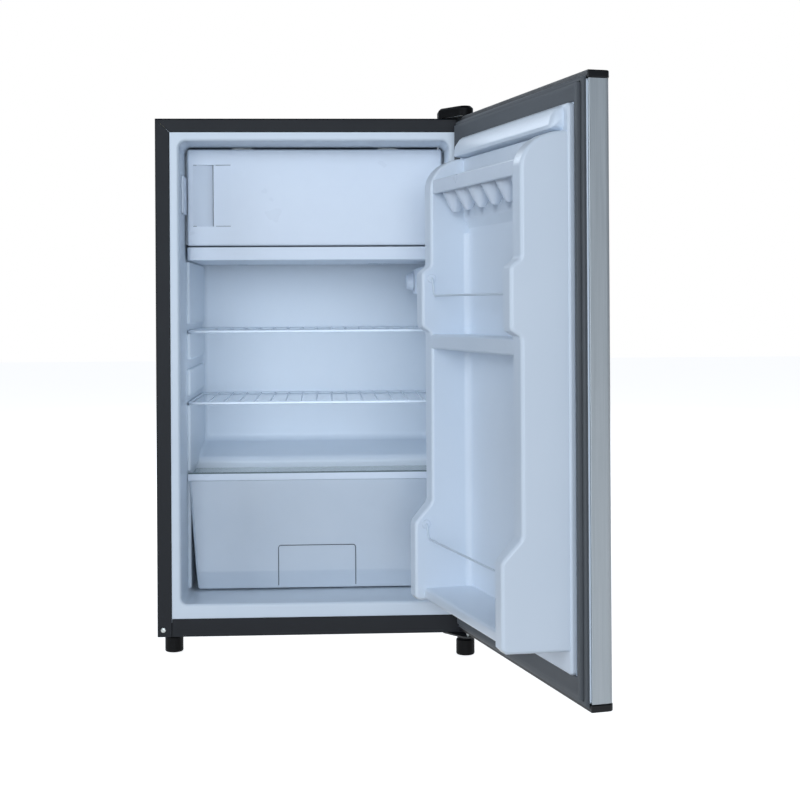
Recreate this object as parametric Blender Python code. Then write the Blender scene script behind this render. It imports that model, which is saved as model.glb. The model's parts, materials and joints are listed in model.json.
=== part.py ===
"""A compact refrigerator with its door open: cabinet, cooling system, shelves, drawer and door.

Modelled in metres with +Z up and the front at -Y. The shapes are laid out in a cabinet frame: x = 0 is the
middle of the cabinet, y = 0 the plane of its front edges and z = 0 the floor. At the end the whole object
moves so that the middle of its box's base is at the world's origin.
"""

import math

import bmesh
import bpy
from mathutils import Vector

# --- driving dimensions ---------------------------------------------------------------------------------
GAP = 0.0003  # clearance between pieces that touch
STEEL = 0.001
PLASTIC = 0.0015

HALF = 0.240  # half the cabinet's width
BASE_Z = 0.032
TOP_Z = 0.813
DEPTH = 0.420
FRAME = 0.022  # front flange of the steel wrap
TOP_FRAME = 0.021
RAIL_TOP = 0.0591

OPEN_HALF = 0.204  # the food compartment
FLOOR_Z = 0.0805
CEILING_Z = 0.7787
INNER_DEPTH = 0.378
PAD = 0.006  # side pads between the shelf grooves
PAD_FRONT = 0.1075
GROOVE = 0.0145
TRAY_Z, SHELF_UPPER_Z, SPARE_Z, SHELF_LOWER_Z, COVER_Z = 0.6015, 0.4872, 0.4305, 0.3740, 0.2550
HUMP_FRONT, HUMP_TOP = 0.250, 0.278  # the step over the compressor
STEP_RISE = 0.014  # its top slopes up to the back wall
STEP_CHAMFER = 0.008  # off the foam's edge there, behind the liner's round edge
BAY_FRONT, BAY_TOP = 0.285, 0.2368

PIVOT = Vector((0.228, -0.020, 0.0))  # the door's hinge line
DOOR_OPEN = math.radians(104)
DOOR_LOW, DOOR_HIGH = 0.0382, 0.8122
DOOR_FRONT = -0.040
CAP = 0.0095
SKIN_BACK = -0.0125
LINER_BACK = -0.0122  # the door liner's rim
PLATEAU = -0.001
PAD_OUT = 0.0065  # the raised part of the door's back wall behind the egg rack
PLATEAU_HALF, PLATEAU_LOW, PLATEAU_HIGH = 0.2020, 0.0742, 0.7775
COLUMN_IN, COLUMN_OUT = 0.162, 0.200
COLUMN_TAPER = 0.135

FREEZER_PIVOT = Vector((0.1945, 0.0925, 0.0))
FLAP_HALF, FLAP_LOW, FLAP_HIGH, FLAP_FRONT = 0.1995, 0.6240, 0.775, 0.085

COMPRESSOR = Vector((-0.020, 0.352, 0.0))
CONDENSER_Y = 0.436
FOOT_R = 0.014
LEFT_FOOT = Vector((-0.2198, 0.0500, 0.0))
RIGHT_FOOT = Vector((0.2245, -0.0030, 0.0))

HOLDERS = {}


# --- materials ------------------------------------------------------------------------------------------
def material(name, colour, roughness, metallic=0.0, alpha=1.0):
    made = bpy.data.materials.new(name)
    made.use_nodes = True
    shader = made.node_tree.nodes["Principled BSDF"]
    shader.inputs["Base Color"].default_value = (*colour, 1.0)
    shader.inputs["Roughness"].default_value = roughness
    shader.inputs["Metallic"].default_value = metallic
    shader.inputs["Alpha"].default_value = alpha
    return made


def make_materials():
    return {
        "charcoal": material("charcoal_enamel", (0.032, 0.036, 0.050), 0.45),
        "white": material("white_polystyrene", (0.62, 0.70, 0.80), 0.35),
        "clear": material("clear_polystyrene", (0.70, 0.78, 0.86), 0.20, alpha=0.6),
        "wire": material("white_coated_wire", (0.72, 0.76, 0.82), 0.40),
        "glass": material("safety_glass", (0.60, 0.75, 0.72), 0.05, alpha=0.35),
        "steel": material("brushed_steel", (0.42, 0.45, 0.49), 0.30, 1.0),
        "zinc": material("zinc_plate", (0.45, 0.45, 0.44), 0.35, 1.0),
        "black": material("black_plastic", (0.015, 0.015, 0.017), 0.50),
        "rubber": material("grey_vinyl_seal", (0.09, 0.10, 0.12), 0.60),
        "foam": material("polyurethane_foam", (0.75, 0.66, 0.42), 0.90),
        "aluminium": material("aluminium_sheet", (0.75, 0.76, 0.77), 0.35, 1.0),
        "copper": material("copper_tube", (0.60, 0.26, 0.15), 0.30, 1.0),
        "enamel": material("black_enamel", (0.012, 0.012, 0.014), 0.30),
    }


# --- tools ----------------------------------------------------------------------------------------------
def clear_scene():
    for obj in list(bpy.data.objects):
        bpy.data.objects.remove(obj, do_unlink=True)


def add_empty(name, at, parent=None):
    empty = bpy.data.objects.new(name, None)
    bpy.context.scene.collection.objects.link(empty)
    empty.location = at
    empty.parent = parent
    HOLDERS[name] = (empty, Vector(at))
    return empty


def add(name, mesh_tool, look, holder="fridge"):
    """An object from a bmesh laid out in the cabinet frame, with its origin on its holder's axis."""
    empty, origin = HOLDERS[holder]
    bmesh.ops.translate(mesh_tool, verts=mesh_tool.verts, vec=-origin)
    mesh = bpy.data.meshes.new(name)
    mesh_tool.to_mesh(mesh)
    mesh_tool.free()
    mesh.materials.append(look)
    obj = bpy.data.objects.new(name, mesh)
    bpy.context.scene.collection.objects.link(obj)
    obj.parent = empty
    return obj


def cells(xs, ys, zs, solid):
    """A closed skin round every cell of the grid for which solid(x, y, z) holds at its middle."""
    mid = [[(a + b) / 2 for a, b in zip(cuts, cuts[1:])] for cuts in (xs, ys, zs)]
    size = [len(m) for m in mid]
    full = {
        (i, j, k)
        for i in range(size[0])
        for j in range(size[1])
        for k in range(size[2])
        if solid(mid[0][i], mid[1][j], mid[2][k])
    }
    tool = bmesh.new()
    corners = {}

    def corner(i, j, k):
        if (i, j, k) not in corners:
            corners[i, j, k] = tool.verts.new((xs[i], ys[j], zs[k]))
        return corners[i, j, k]

    sides = {
        (-1, 0, 0): ((0, 0, 0), (0, 0, 1), (0, 1, 1), (0, 1, 0)),
        (1, 0, 0): ((1, 0, 0), (1, 1, 0), (1, 1, 1), (1, 0, 1)),
        (0, -1, 0): ((0, 0, 0), (1, 0, 0), (1, 0, 1), (0, 0, 1)),
        (0, 1, 0): ((0, 1, 0), (0, 1, 1), (1, 1, 1), (1, 1, 0)),
        (0, 0, -1): ((0, 0, 0), (0, 1, 0), (1, 1, 0), (1, 0, 0)),
        (0, 0, 1): ((0, 0, 1), (1, 0, 1), (1, 1, 1), (0, 1, 1)),
    }
    for i, j, k in sorted(full):
        for (di, dj, dk), quad in sides.items():
            if (i + di, j + dj, k + dk) not in full:
                tool.faces.new([corner(i + a, j + b, k + c) for a, b, c in quad])
    bmesh.ops.dissolve_limit(tool, angle_limit=0.001, verts=tool.verts, edges=tool.edges)
    return tool


def box(low, high):
    return cells(*zip(low, high), lambda x, y, z: True)


def loft(rings):
    """A closed skin through rings of equal length, capped at both ends."""
    tool = bmesh.new()
    rows = [[tool.verts.new(point) for point in ring] for ring in rings]
    for low, high in zip(rows, rows[1:]):
        for n in range(len(low)):
            m = (n + 1) % len(low)
            tool.faces.new((low[n], low[m], high[m], high[n]))
    tool.faces.new(reversed(rows[0]))
    tool.faces.new(rows[-1])
    bmesh.ops.recalc_face_normals(tool, faces=tool.faces)
    return tool


def circle(centre, radius, axis="z", count=20):
    points = []
    for n in range(count):
        a, b = radius * math.cos(2 * math.pi * n / count), radius * math.sin(2 * math.pi * n / count)
        turn = {"x": (0, a, b), "y": (b, 0, a), "z": (a, b, 0)}[axis]
        points.append(Vector(centre) + Vector(turn))
    return points


def turned(centre, profile, axis="z", count=20):
    """A turned solid from (radius, height along the axis) pairs, starting and ending on a flat end."""
    way = Vector({"x": (1, 0, 0), "y": (0, 1, 0), "z": (0, 0, 1)}[axis])
    return loft([circle(Vector(centre) + way * height, radius, axis, count) for radius, height in profile])


def rounded(half_x, low_y, high_y, z, radius, steps=3):
    """A rectangle with round corners, centred on x = 0, at height z."""
    points = []
    for cx, cy, start in (
        (half_x - radius, high_y - radius, 0),
        (radius - half_x, high_y - radius, 90),
        (radius - half_x, low_y + radius, 180),
        (half_x - radius, low_y + radius, 270),
    ):
        for n in range(steps + 1):
            angle = math.radians(start + 90 * n / steps)
            points.append(Vector((cx + radius * math.cos(angle), cy + radius * math.sin(angle), z)))
    return points


def flat_prism(outline, low, high, axis="z"):
    """An outline swept along an axis: (x, y) along z, (x, z) along y, or (y, z) along x."""
    def point(a, b, c):
        return Vector({"z": (a, b, c), "y": (a, c, b), "x": (c, a, b)}[axis])

    return loft([[point(a, b, c) for a, b in outline] for c in (low, high)])


def merged(*tools):
    """Several separate closed skins in one mesh, used as one Boolean operand."""
    whole = bmesh.new()
    for tool in tools:
        mesh = bpy.data.meshes.new("operand")
        tool.to_mesh(mesh)
        tool.free()
        whole.from_mesh(mesh)
        bpy.data.meshes.remove(mesh)
    return whole


def boolean(obj, tool, operation, holder="fridge"):
    operand = add(f"{obj.name}_{operation.lower()}_{len(obj.modifiers)}", tool, obj.data.materials[0], holder)
    operand.hide_render = True
    operand.display_type = "WIRE"
    step = obj.modifiers.new(operation.lower(), "BOOLEAN")
    step.operation = operation
    step.solver = "EXACT"
    step.object = operand


def soften(obj, width, segments=2, angle=35):
    bevel = obj.modifiers.new("bevel", "BEVEL")
    bevel.width = width
    bevel.segments = segments
    bevel.limit_method = "ANGLE"
    bevel.angle_limit = math.radians(angle)


def wire(name, points, radius, look, holder="fridge", sides=1):
    """A round rod or tube along points in the cabinet frame."""
    empty, origin = HOLDERS[holder]
    curve = bpy.data.curves.new(name, "CURVE")
    curve.dimensions = "3D"
    curve.bevel_depth = radius
    curve.bevel_resolution = sides
    curve.use_fill_caps = True
    spline = curve.splines.new("POLY")
    spline.points.add(len(points) - 1)
    for slot, point in zip(spline.points, points):
        slot.co = (*(Vector(point) - origin), 1.0)
    curve.materials.append(look)
    obj = bpy.data.objects.new(name, curve)
    bpy.context.scene.collection.objects.link(obj)
    obj.parent = empty
    return obj


def bend(points, radius, steps=3):
    """A route through points, with each corner rounded by an arc of about the given radius."""
    points = [Vector(p) for p in points]
    route = [points[0]]
    for before, here, after in zip(points, points[1:], points[2:]):
        cut = min(radius, (before - here).length / 2.2, (after - here).length / 2.2)
        start = here + (before - here).normalized() * cut
        end = here + (after - here).normalized() * cut
        for n in range(steps + 1):
            t = n / steps
            route.append((1 - t) ** 2 * start + 2 * t * (1 - t) * here + t * t * end)
    return route + [points[-1]]


def mirrored(cuts):
    return sorted({-c for c in cuts} | set(cuts))


# --- cabinet --------------------------------------------------------------------------------------------
def in_cavity(x, y, z, grow=0.0):
    """Whether a point is in the food compartment, or within grow of it."""
    hump = y > HUMP_FRONT + grow and z < HUMP_TOP - grow
    inside = abs(x) < OPEN_HALF + grow and FLOOR_Z - grow < z < CEILING_Z + grow and y < INNER_DEPTH + grow
    return inside and not hump


def make_shell(look):
    xs = mirrored((HALF - FRAME, HALF - STEEL, HALF))
    zs = (BASE_Z, TOP_Z - TOP_FRAME, TOP_Z - STEEL, TOP_Z)

    def steel(x, y, z):
        wrap = abs(x) > HALF - STEEL or z > TOP_Z - STEEL
        return wrap or (y < STEEL and (abs(x) > HALF - FRAME or z > TOP_Z - TOP_FRAME))

    add("cabinet_shell", cells(xs, (0, STEEL, DEPTH), zs, steel), look["charcoal"])
    rail = cells(
        mirrored((HALF - FRAME - GAP,)),
        (0, STEEL, 0.035),
        (BASE_Z, BASE_Z + STEEL, RAIL_TOP),
        lambda x, y, z: y < STEEL or z < BASE_Z + STEEL,
    )
    add("front_bottom_rail", rail, look["charcoal"])
    inside = HALF - STEEL - GAP
    add("rear_panel", box((-inside, DEPTH - STEEL, BAY_TOP), (inside, DEPTH, TOP_Z - STEEL - GAP)), look["zinc"])
    add("base_plate", box((-inside, 0.0355, BASE_Z), (inside, BAY_FRONT - 0.001, BASE_Z + STEEL)), look["zinc"])
    bay = cells(
        (-inside, inside),
        (BAY_FRONT + GAP, BAY_FRONT + GAP + STEEL, DEPTH - 0.0015),
        (BASE_Z + 0.0015, BAY_TOP - GAP - STEEL, BAY_TOP - GAP),
        lambda x, y, z: y < BAY_FRONT + GAP + STEEL or z > BAY_TOP - GAP - STEEL,
    )
    add("compressor_bay_panel", bay, look["zinc"])


def make_foam(look):
    inside = HALF - STEEL - GAP
    grow = PLASTIC + GAP
    xs = mirrored((OPEN_HALF + grow, inside))
    ys = (0.0036, HUMP_FRONT + grow, BAY_FRONT, INNER_DEPTH + grow, DEPTH - STEEL - GAP)
    zs = (BASE_Z + STEEL + GAP, FLOOR_Z - grow, BAY_TOP, HUMP_TOP - grow, CEILING_Z + grow, TOP_Z - STEEL - GAP)

    def foam(x, y, z):
        return not in_cavity(x, y, z, grow) and not (y > BAY_FRONT and z < BAY_TOP)

    block = cells(xs, ys, zs, foam)
    crown = [
        edge
        for edge in block.edges
        if all(abs(v.co.y - ys[1]) < 1e-6 and abs(v.co.z - zs[3]) < 1e-6 for v in edge.verts)
    ]
    bmesh.ops.bevel(block, geom=crown, offset=STEP_CHAMFER, segments=1, affect="EDGES")
    add("cabinet_foam", sloped(block), look["foam"])


def sloped(tool):
    """Slopes the top of the step over the compressor up towards the back wall."""
    for vert in tool.verts:
        if HUMP_FRONT < vert.co.y < INNER_DEPTH + 0.003 and abs(vert.co.z - HUMP_TOP) < 0.003:
            vert.co.z += STEP_RISE * (vert.co.y - HUMP_FRONT) / (INNER_DEPTH - HUMP_FRONT)
    return tool


def make_liner(look):
    grooves = [(z - 0.0003, z - 0.0003 + GROOVE) for z in (COVER_Z, SHELF_LOWER_Z, SPARE_Z, SHELF_UPPER_Z)]
    grooves.append((TRAY_Z - 0.0015, TRAY_Z + 0.0245))
    tuck = 0.006
    side, low, high = HALF - FRAME + tuck, RAIL_TOP - tuck, TOP_Z - TOP_FRAME + tuck
    pad_half = OPEN_HALF - PAD
    xs = mirrored((pad_half, OPEN_HALF, OPEN_HALF + PLASTIC, side))
    ys = (
        STEEL + GAP,
        STEEL + GAP + 0.002,
        PAD_FRONT,
        HUMP_FRONT,
        HUMP_FRONT + PLASTIC,
        INNER_DEPTH,
        INNER_DEPTH + PLASTIC,
    )
    zs = [low, FLOOR_Z - PLASTIC, FLOOR_Z, HUMP_TOP - PLASTIC, HUMP_TOP, CEILING_Z, CEILING_Z + PLASTIC, high]
    zs = sorted(zs + [z for groove in grooves for z in groove])

    def plastic(x, y, z):
        if in_cavity(x, y, z):
            grooved = any(a < z < b for a, b in grooves)
            return abs(x) > pad_half and y > PAD_FRONT and not grooved
        return in_cavity(x, y, z, PLASTIC) or y < STEEL + GAP + 0.002

    add("inner_liner", sloped(cells(xs, ys, zs, plastic)), look["white"])


def make_base(look):
    inside = HALF - STEEL - GAP
    front, back = 0.292, 0.412
    rail = cells(
        (-inside, inside),
        (front, front + STEEL, back - STEEL, back),
        (BASE_Z + 0.001, 0.040, 0.0415),
        lambda x, y, z: z > 0.040 or y < front + STEEL or y > back - STEEL,
    )
    add("compressor_base", rail, look["zinc"])
    foot = ((0.0120, 0), (0.0140, 0.002), (0.0140, 0.010), (0.0105, 0.012))
    for side, word in ((-1, "left"), (1, "right")):
        solid = turned((side * 0.208, 0.385, 0), (*foot, (0.0105, 0.0397)), "z", 20)
        add(f"rear_foot_{word}", solid, look["black"])
    for word, spot, top in (("left", LEFT_FOOT, BASE_Z - GAP), ("right", RIGHT_FOOT, 0.0287)):
        add_empty(f"front_foot_{word}_axis", spot, HOLDERS["fridge"][0])
        profile = ((0.0125, 0), (FOOT_R, 0.0015), (FOOT_R, 0.0225), (0.0120, 0.0245), (0.0120, top))
        add(f"front_foot_{word}", turned(spot, profile, "z", 24), look["black"], f"front_foot_{word}_axis")


# --- cooling system -------------------------------------------------------------------------------------
def make_compressor(look):
    x, y = COMPRESSOR.x, COMPRESSOR.y
    profile = (
        (0.030, 0.0525),
        (0.047, 0.058),
        (0.0540, 0.070),
        (0.0545, 0.118),
        (0.0570, 0.119),
        (0.0570, 0.123),
        (0.0540, 0.124),
        (0.0520, 0.160),
        (0.0430, 0.177),
        (0.020, 0.184),
    )
    add("compressor_shell", turned((x, y, 0), profile, "z", 28), look["enamel"])
    plate = flat_prism([(p.x + x, p.y + y) for p in rounded(0.066, -0.050, 0.050, 0, 0.012)], 0.0502, 0.0522)
    add("compressor_mount_plate", plate, look["zinc"])
    corners = [(a * 0.054, b * 0.038) for a in (-1, 1) for b in (-1, 1)]
    for n, (a, b) in enumerate(corners, 1):
        profile = ((0.0090, 0.0418), (0.0090, 0.0445), (0.0070, 0.0460), (0.0090, 0.0475), (0.0090, 0.0499))
        add(f"grommet_{n}", turned((x + a, y + b, 0), profile, "z", 14), look["rubber"])
    relay = box((x + 0.0573, y - 0.020, 0.085), (x + 0.083, y + 0.020, 0.138))
    soften(add("relay_cover", relay, look["black"]), 0.002, 1)
    gland = loft(
        [circle((x + 0.070, y + 0.0203 + d, 0.100), r, "y", 16) for r, d in ((0.0040, 0.004), (0.0040, 0.012))]
        + [circle((x + 0.070, y + 0.0203 + d, 0.100), r, "y", 16) for r, d in ((0.0060, 0.012), (0.0085, 0))]
    )
    add("cord_gland", gland, look["black"])
    pan = loft(
        [
            rounded(0.052, -0.052, 0.052, 0.1862, 0.012),
            rounded(0.062, -0.062, 0.058, 0.2080, 0.012),
            rounded(0.0605, -0.0605, 0.0565, 0.2080, 0.0105),
            rounded(0.0505, -0.0505, 0.0505, 0.1877, 0.0105),
        ]
    )
    bmesh.ops.translate(pan, verts=pan.verts, vec=(x, y, 0))
    add("evaporation_pan", pan, look["black"])
    drain = turned((x, y - 0.030, 0), ((0.0045, 0.200), (0.0060, 0.2351)), "z", 12)
    add("drain_tube", drain, look["black"])


def make_tubes(look):
    x, y = COMPRESSOR.x, COMPRESSOR.y
    reach = 0.188
    low, high, turns = 0.300, 0.756, 8
    pitch = (high - low) / turns
    route = [(x - 0.062, y, 0.105), (-0.150, y, 0.105), (-reach, 0.400, 0.150), (-reach, CONDENSER_Y, 0.200)]
    route.append((-reach, CONDENSER_Y, low - 0.006))
    wire("discharge_line", bend(route, 0.020), 0.0030, look["copper"])
    snake = [(-reach, CONDENSER_Y, low - 0.0055 + 0.0010), (-reach, CONDENSER_Y, low + pitch)]
    for n in range(1, turns):
        side = 1 if n % 2 else -1
        snake += [(side * reach, CONDENSER_Y, low + n * pitch), (side * reach, CONDENSER_Y, low + (n + 1) * pitch)]
    down = 0.2015  # the tube's last run comes down outside the bends
    snake[-1] = (reach, CONDENSER_Y, high)
    snake += [(down, CONDENSER_Y, high), (down, CONDENSER_Y, 0.240), (0.160, 0.396, 0.205)]
    snake += [(0.160, 0.396, 0.1755)]
    wire("condenser_tube", bend(snake, 0.026), 0.0024, look["enamel"])
    drier = ((0.0030, 0.172), (0.0090, 0.164), (0.0090, 0.092), (0.0025, 0.084))
    add("filter_drier", turned((0.160, 0.396, 0), drier, "z", 14), look["copper"])
    route = [(0.160, 0.396, 0.082), (0.160, 0.396, 0.060), (0.185, 0.330, 0.060), (0.185, 0.305, 0.235)]
    wire("capillary_tube", bend(route, 0.018), 0.0011, look["copper"])
    route = [(x - 0.042, y - 0.044, 0.100), (x - 0.070, y - 0.050, 0.100), (-0.120, 0.304, 0.130)]
    wire("suction_line", bend(route + [(-0.120, 0.304, 0.235)], 0.020), 0.0035, look["copper"])
    for word, depth in (("inner", -0.0042), ("outer", 0.0027)):
        count, width = 17, 0.0015
        places = [(-0.178 + n * 0.356 / (count - 1)) for n in range(count)]
        xs = sorted([p - width / 2 for p in places] + [p + width / 2 for p in places])

        def rods(px, py, pz):
            return pz < 0.288 or pz > 0.766 or any(abs(px - p) < width / 2 for p in places)

        depths = (CONDENSER_Y + depth, CONDENSER_Y + depth + width)
        ladder = cells(xs, depths, (0.2865, 0.288, 0.766, 0.7675), rods)
        add(f"condenser_wires_{word}", ladder, look["enamel"])
    for side, word in ((-1, "left"), (1, "right")):
        edge = sorted((side * 0.2085, side * 0.2235))
        flange = sorted((side * 0.2225, side * 0.2235))
        xs = sorted(set(edge) | set(flange))
        strip = cells(
            xs,
            (DEPTH + GAP, DEPTH + GAP + STEEL, CONDENSER_Y + 0.001),
            (0.275, 0.780),
            lambda px, py, pz: py < DEPTH + GAP + STEEL or abs(px) > 0.2225,
        )
        add(f"condenser_bracket_{word}", strip, look["enamel"])


def make_evaporator(look):
    half, low, high, front, back = 0.186, 0.636, 0.770, 0.106, 0.370
    t = 0.0015
    hang_in, hang_out = 0.100, 0.130
    xs = mirrored((hang_in, hang_out, half - t, half))

    def sheet(x, y, z):
        if z > high:
            return hang_in < abs(x) < hang_out
        return abs(x) > half - t or z < low + t or z > high - t or y > back - t

    zs = (low, low + t, high - t, high, CEILING_Z - GAP)
    add("evaporator_box", cells(xs, (front, back - t, back), zs, sheet), look["aluminium"])


# --- inside fittings ------------------------------------------------------------------------------------
def make_freezer_door(look):
    add_empty("freezer_door_axis", FREEZER_PIVOT, HOLDERS["fridge"][0])
    front, back, t = FLAP_FRONT, FLAP_FRONT + 0.015, 0.0018
    pocket = (-0.180, -0.159, 0.654, 0.751)
    px, py = FREEZER_PIVOT.x, FREEZER_PIVOT.y
    hole = 0.0029
    xs = sorted((-FLAP_HALF, -FLAP_HALF + t, *pocket[:2], px - hole, px + hole, FLAP_HALF - t, FLAP_HALF))
    xs = sorted(xs + [pocket[0] - t, pocket[1] + t])
    ys = sorted((front, front + t, py - hole, py + hole, front + 0.009, front + 0.009 + t, back))
    zs = [FLAP_LOW, FLAP_LOW + t, pocket[2] - t, pocket[2], pocket[3], pocket[3] + t, FLAP_HIGH - t, FLAP_HIGH]

    def shell(x, y, z):
        if abs(x - px) < hole and abs(y - py) < hole:
            return False
        scoop = pocket[0] < x < pocket[1] and pocket[2] < z < pocket[3]
        if scoop and y < front + 0.009:
            return False
        wall = pocket[0] - t < x < pocket[1] + t and pocket[2] - t < z < pocket[3] + t
        if wall and y < front + 0.009 + t:
            return True
        rim = abs(x) > FLAP_HALF - t or z < FLAP_LOW + t or z > FLAP_HIGH - t
        return rim or y < front + t

    add("freezer_door", cells(xs, ys, zs, shell), look["white"], "freezer_door_axis")
    pin = turned((px, py, 0), ((0.0020, FLAP_LOW), (0.0020, CEILING_Z - GAP)), "z", 12)
    add("freezer_door_pin", pin, look["zinc"])
    bracket = box((px - 0.006, py - 0.006, 0.6223), (OPEN_HALF - GAP, py + 0.006, FLAP_LOW - GAP))
    add("freezer_pin_bracket", bracket, look["white"])
    catch = box((GAP - OPEN_HALF, 0.030, 0.672), (-0.2003, FLAP_FRONT - 0.0005, 0.730))
    soften(add("freezer_catch", catch, look["white"]), 0.0008, 1)


def make_drip_tray(look):
    add_empty("drip_tray_slide", (0, 0.087, TRAY_Z), HOLDERS["fridge"][0])
    t, half, front, back, high = PLASTIC, 0.2005, 0.087, 0.366, TRAY_Z + 0.0205
    tray = cells(
        mirrored((half - t, half)),
        (front, front + t, back - t, back),
        (TRAY_Z, TRAY_Z + t, high),
        lambda x, y, z: z < TRAY_Z + t or abs(x) > half - t or y < front + t or y > back - t,
    )
    add("drip_tray", tray, look["white"], "drip_tray_slide")


def make_thermostat(look):
    wall = OPEN_HALF - PAD - GAP
    y, z = 0.245, 0.569
    rings = [
        [(wall, y + a * 0.046, z + b * 0.0245) for a, b in ((-1, -1), (1, -1), (1, 1), (-1, 1))],
        [(wall - 0.022, y + a * 0.046, z + b * 0.0245) for a, b in ((-1, -1), (1, -1), (1, 1), (-1, 1))],
        [(wall - 0.034, y + a * 0.036, z + b * 0.0200) for a, b in ((-1, -1), (1, -1), (1, 1), (-1, 1))],
    ]
    add("thermostat_housing", loft(rings), look["white"])
    face = wall - 0.034 - GAP
    add_empty("thermostat_knob_axis", (face, y, z), HOLDERS["fridge"][0])
    profile = ((0.0150, 0), (0.0150, -0.004), (0.0125, -0.011), (0.0110, -0.012))
    add("thermostat_knob", turned((face, y, z), profile, "x", 20), look["white"], "thermostat_knob_axis")


def make_shelf(name, height, look):
    add_empty(f"{name}_slide", (0, 0.100, height), HOLDERS["fridge"][0])
    half, front, back, thick = 0.2025, 0.100, 0.372, 0.005
    edge, rod, count, reach = 0.005, 0.0026, 15, 0.172
    places = [-reach + n * 2 * reach / (count - 1) for n in range(count)]
    xs = mirrored((half, half - edge)) + [p + s * rod / 2 for p in places for s in (-1, 1)]
    ys = (front, front + edge, 0.2335, 0.2365, back - edge, back)

    def rods(x, y, z):
        rim = abs(x) > half - edge or y < front + edge or y > back - edge
        return rim or 0.2335 < y < 0.2365 or any(abs(x - p) < rod / 2 for p in places)

    add(name, cells(sorted(xs), ys, (height, height + thick), rods), look["wire"], f"{name}_slide")


def make_crisper(look):
    add_empty("crisper_cover_slide", (0, 0.098, COVER_Z), HOLDERS["fridge"][0])
    add_empty("crisper_slide", (0, 0.098, FLOOR_Z), HOLDERS["fridge"][0])
    half = 0.2025
    trim = box((-half, 0.098, COVER_Z - 0.0003), (half, PAD_FRONT - 0.0005, COVER_Z + 0.012))
    soften(add("crisper_cover_trim", trim, look["white"], "crisper_cover_slide"), 0.0015)
    glass = box((-half, PAD_FRONT - 0.0002, COVER_Z), (half, HUMP_FRONT - 0.0025, COVER_Z + 0.004))
    add("crisper_cover_glass", glass, look["glass"], "crisper_cover_slide")
    low, fold, high, wall = FLOOR_Z + 0.0025, 0.1108, 0.2525, 0.0022
    levels = (  # height, half width, front, back: the front turns under below the fold
        (low, 0.1840, 0.1080, 0.2380),
        (fold, 0.1870, 0.0990, 0.2400),
        (high, 0.1968, 0.0975, 0.2440),
    )
    outside = [rounded(wide, near, far, z, 0.020, 5) for z, wide, near, far in levels]
    inside = [
        rounded(wide - wall, near + wall, far - wall, max(z, low + wall), 0.018, 5)
        for z, wide, near, far in reversed(levels)
    ]
    drawer = add("crisper_drawer", loft(outside + inside), look["clear"], "crisper_slide")
    front = loft(
        [
            rounded(wide, near, 0.1066, z, 0.0035, 3)
            for z, wide, near in ((0.0880, 0.1880, 0.0990), (fold, 0.1900, 0.0990), (high, 0.2005, 0.0975))
        ]
    )
    boolean(drawer, front, "UNION", "crisper_slide")
    grip = [(-0.061, fold + 0.001), (0.061, fold + 0.001), (0.061, 0.152), (-0.061, 0.152)]
    boolean(drawer, flat_prism(grip, 0.09, 0.0995, "y"), "DIFFERENCE", "crisper_slide")


# --- hinges ---------------------------------------------------------------------------------------------
def make_hinges(look):
    x, y = PIVOT.x, PIVOT.y
    plate = hinge_outline(-0.0025)
    add("top_hinge_bracket", flat_prism(plate, TOP_Z + GAP, TOP_Z + 0.0033), look["zinc"])
    pin = turned((x, y, 0), ((0.0035, 0.8040), (0.0040, 0.8050), (0.0040, TOP_Z)), "z", 16)
    add("top_hinge_pin", pin, look["zinc"])
    rings = []
    for z, grow in ((0.8166, -0.0012), (0.8134, -0.0012), (0.8134, 0.0), (0.8255, 0.0), (0.8290, -0.004)):
        rings.append([(a, b, z) for a, b in hinge_outline(grow)])
    add("top_hinge_cover", loft(rings), look["black"])
    add("lower_hinge_bracket", flat_prism(plate, 0.0290, BASE_Z - GAP), look["enamel"])
    pin = turned((x, y, 0), ((0.0040, BASE_Z), (0.0040, 0.0455), (0.0035, 0.0465)), "z", 16)
    add("lower_hinge_pin", pin, look["zinc"])


def hinge_outline(grow):
    """A hinge plate or cover from above: square at the back, drawn in to a round nose round the pin."""
    low_x, high_x, back = 0.1895 - grow, 0.2395 + grow, 0.040 + grow
    nose = 0.013 + grow
    points = [(high_x, back), (low_x, back), (low_x, 0.006 - grow)]
    for n in range(7):
        angle = math.radians(205 + n * 155 / 6)
        points.append((PIVOT.x - 0.0015 + nose * math.cos(angle), PIVOT.y + nose * math.sin(angle)))
    return points


# --- door, laid out shut --------------------------------------------------------------------------------
def door_outline(half, front, back, radius, steps=4):
    """The door from above: round front corners and square back ones."""
    points = [(half, back), (-half, back)]
    for sign, start in ((-1, 180), (1, 270)):
        for n in range(steps + 1):
            angle = math.radians(start + 90 * n / steps)
            centre = (sign * (half - radius), front + radius)
            points.append((centre[0] + radius * math.cos(angle), centre[1] + radius * math.sin(angle)))
    return points


def make_door_panel(look):
    low, high = DOOR_LOW + CAP + 0.0003, DOOR_HIGH - CAP - 0.0003
    outer = door_outline(HALF, DOOR_FRONT, SKIN_BACK, 0.006)
    inner = door_outline(HALF - STEEL, DOOR_FRONT + STEEL, SKIN_BACK - STEEL, 0.005)
    lip = HALF - 0.010
    # out along the skin's outer face, then back along its inner face, with a lip folded in at each side
    shape = [(lip, SKIN_BACK), *outer[:1]] + outer[:1:-1] + [outer[1], (-lip, SKIN_BACK)]
    shape += [(-lip, SKIN_BACK - STEEL), inner[1], *inner[2:], inner[0], (lip, SKIN_BACK - STEEL)]
    add("door_panel", flat_prism(shape, low, high), look["steel"], "door_axis")


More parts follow.
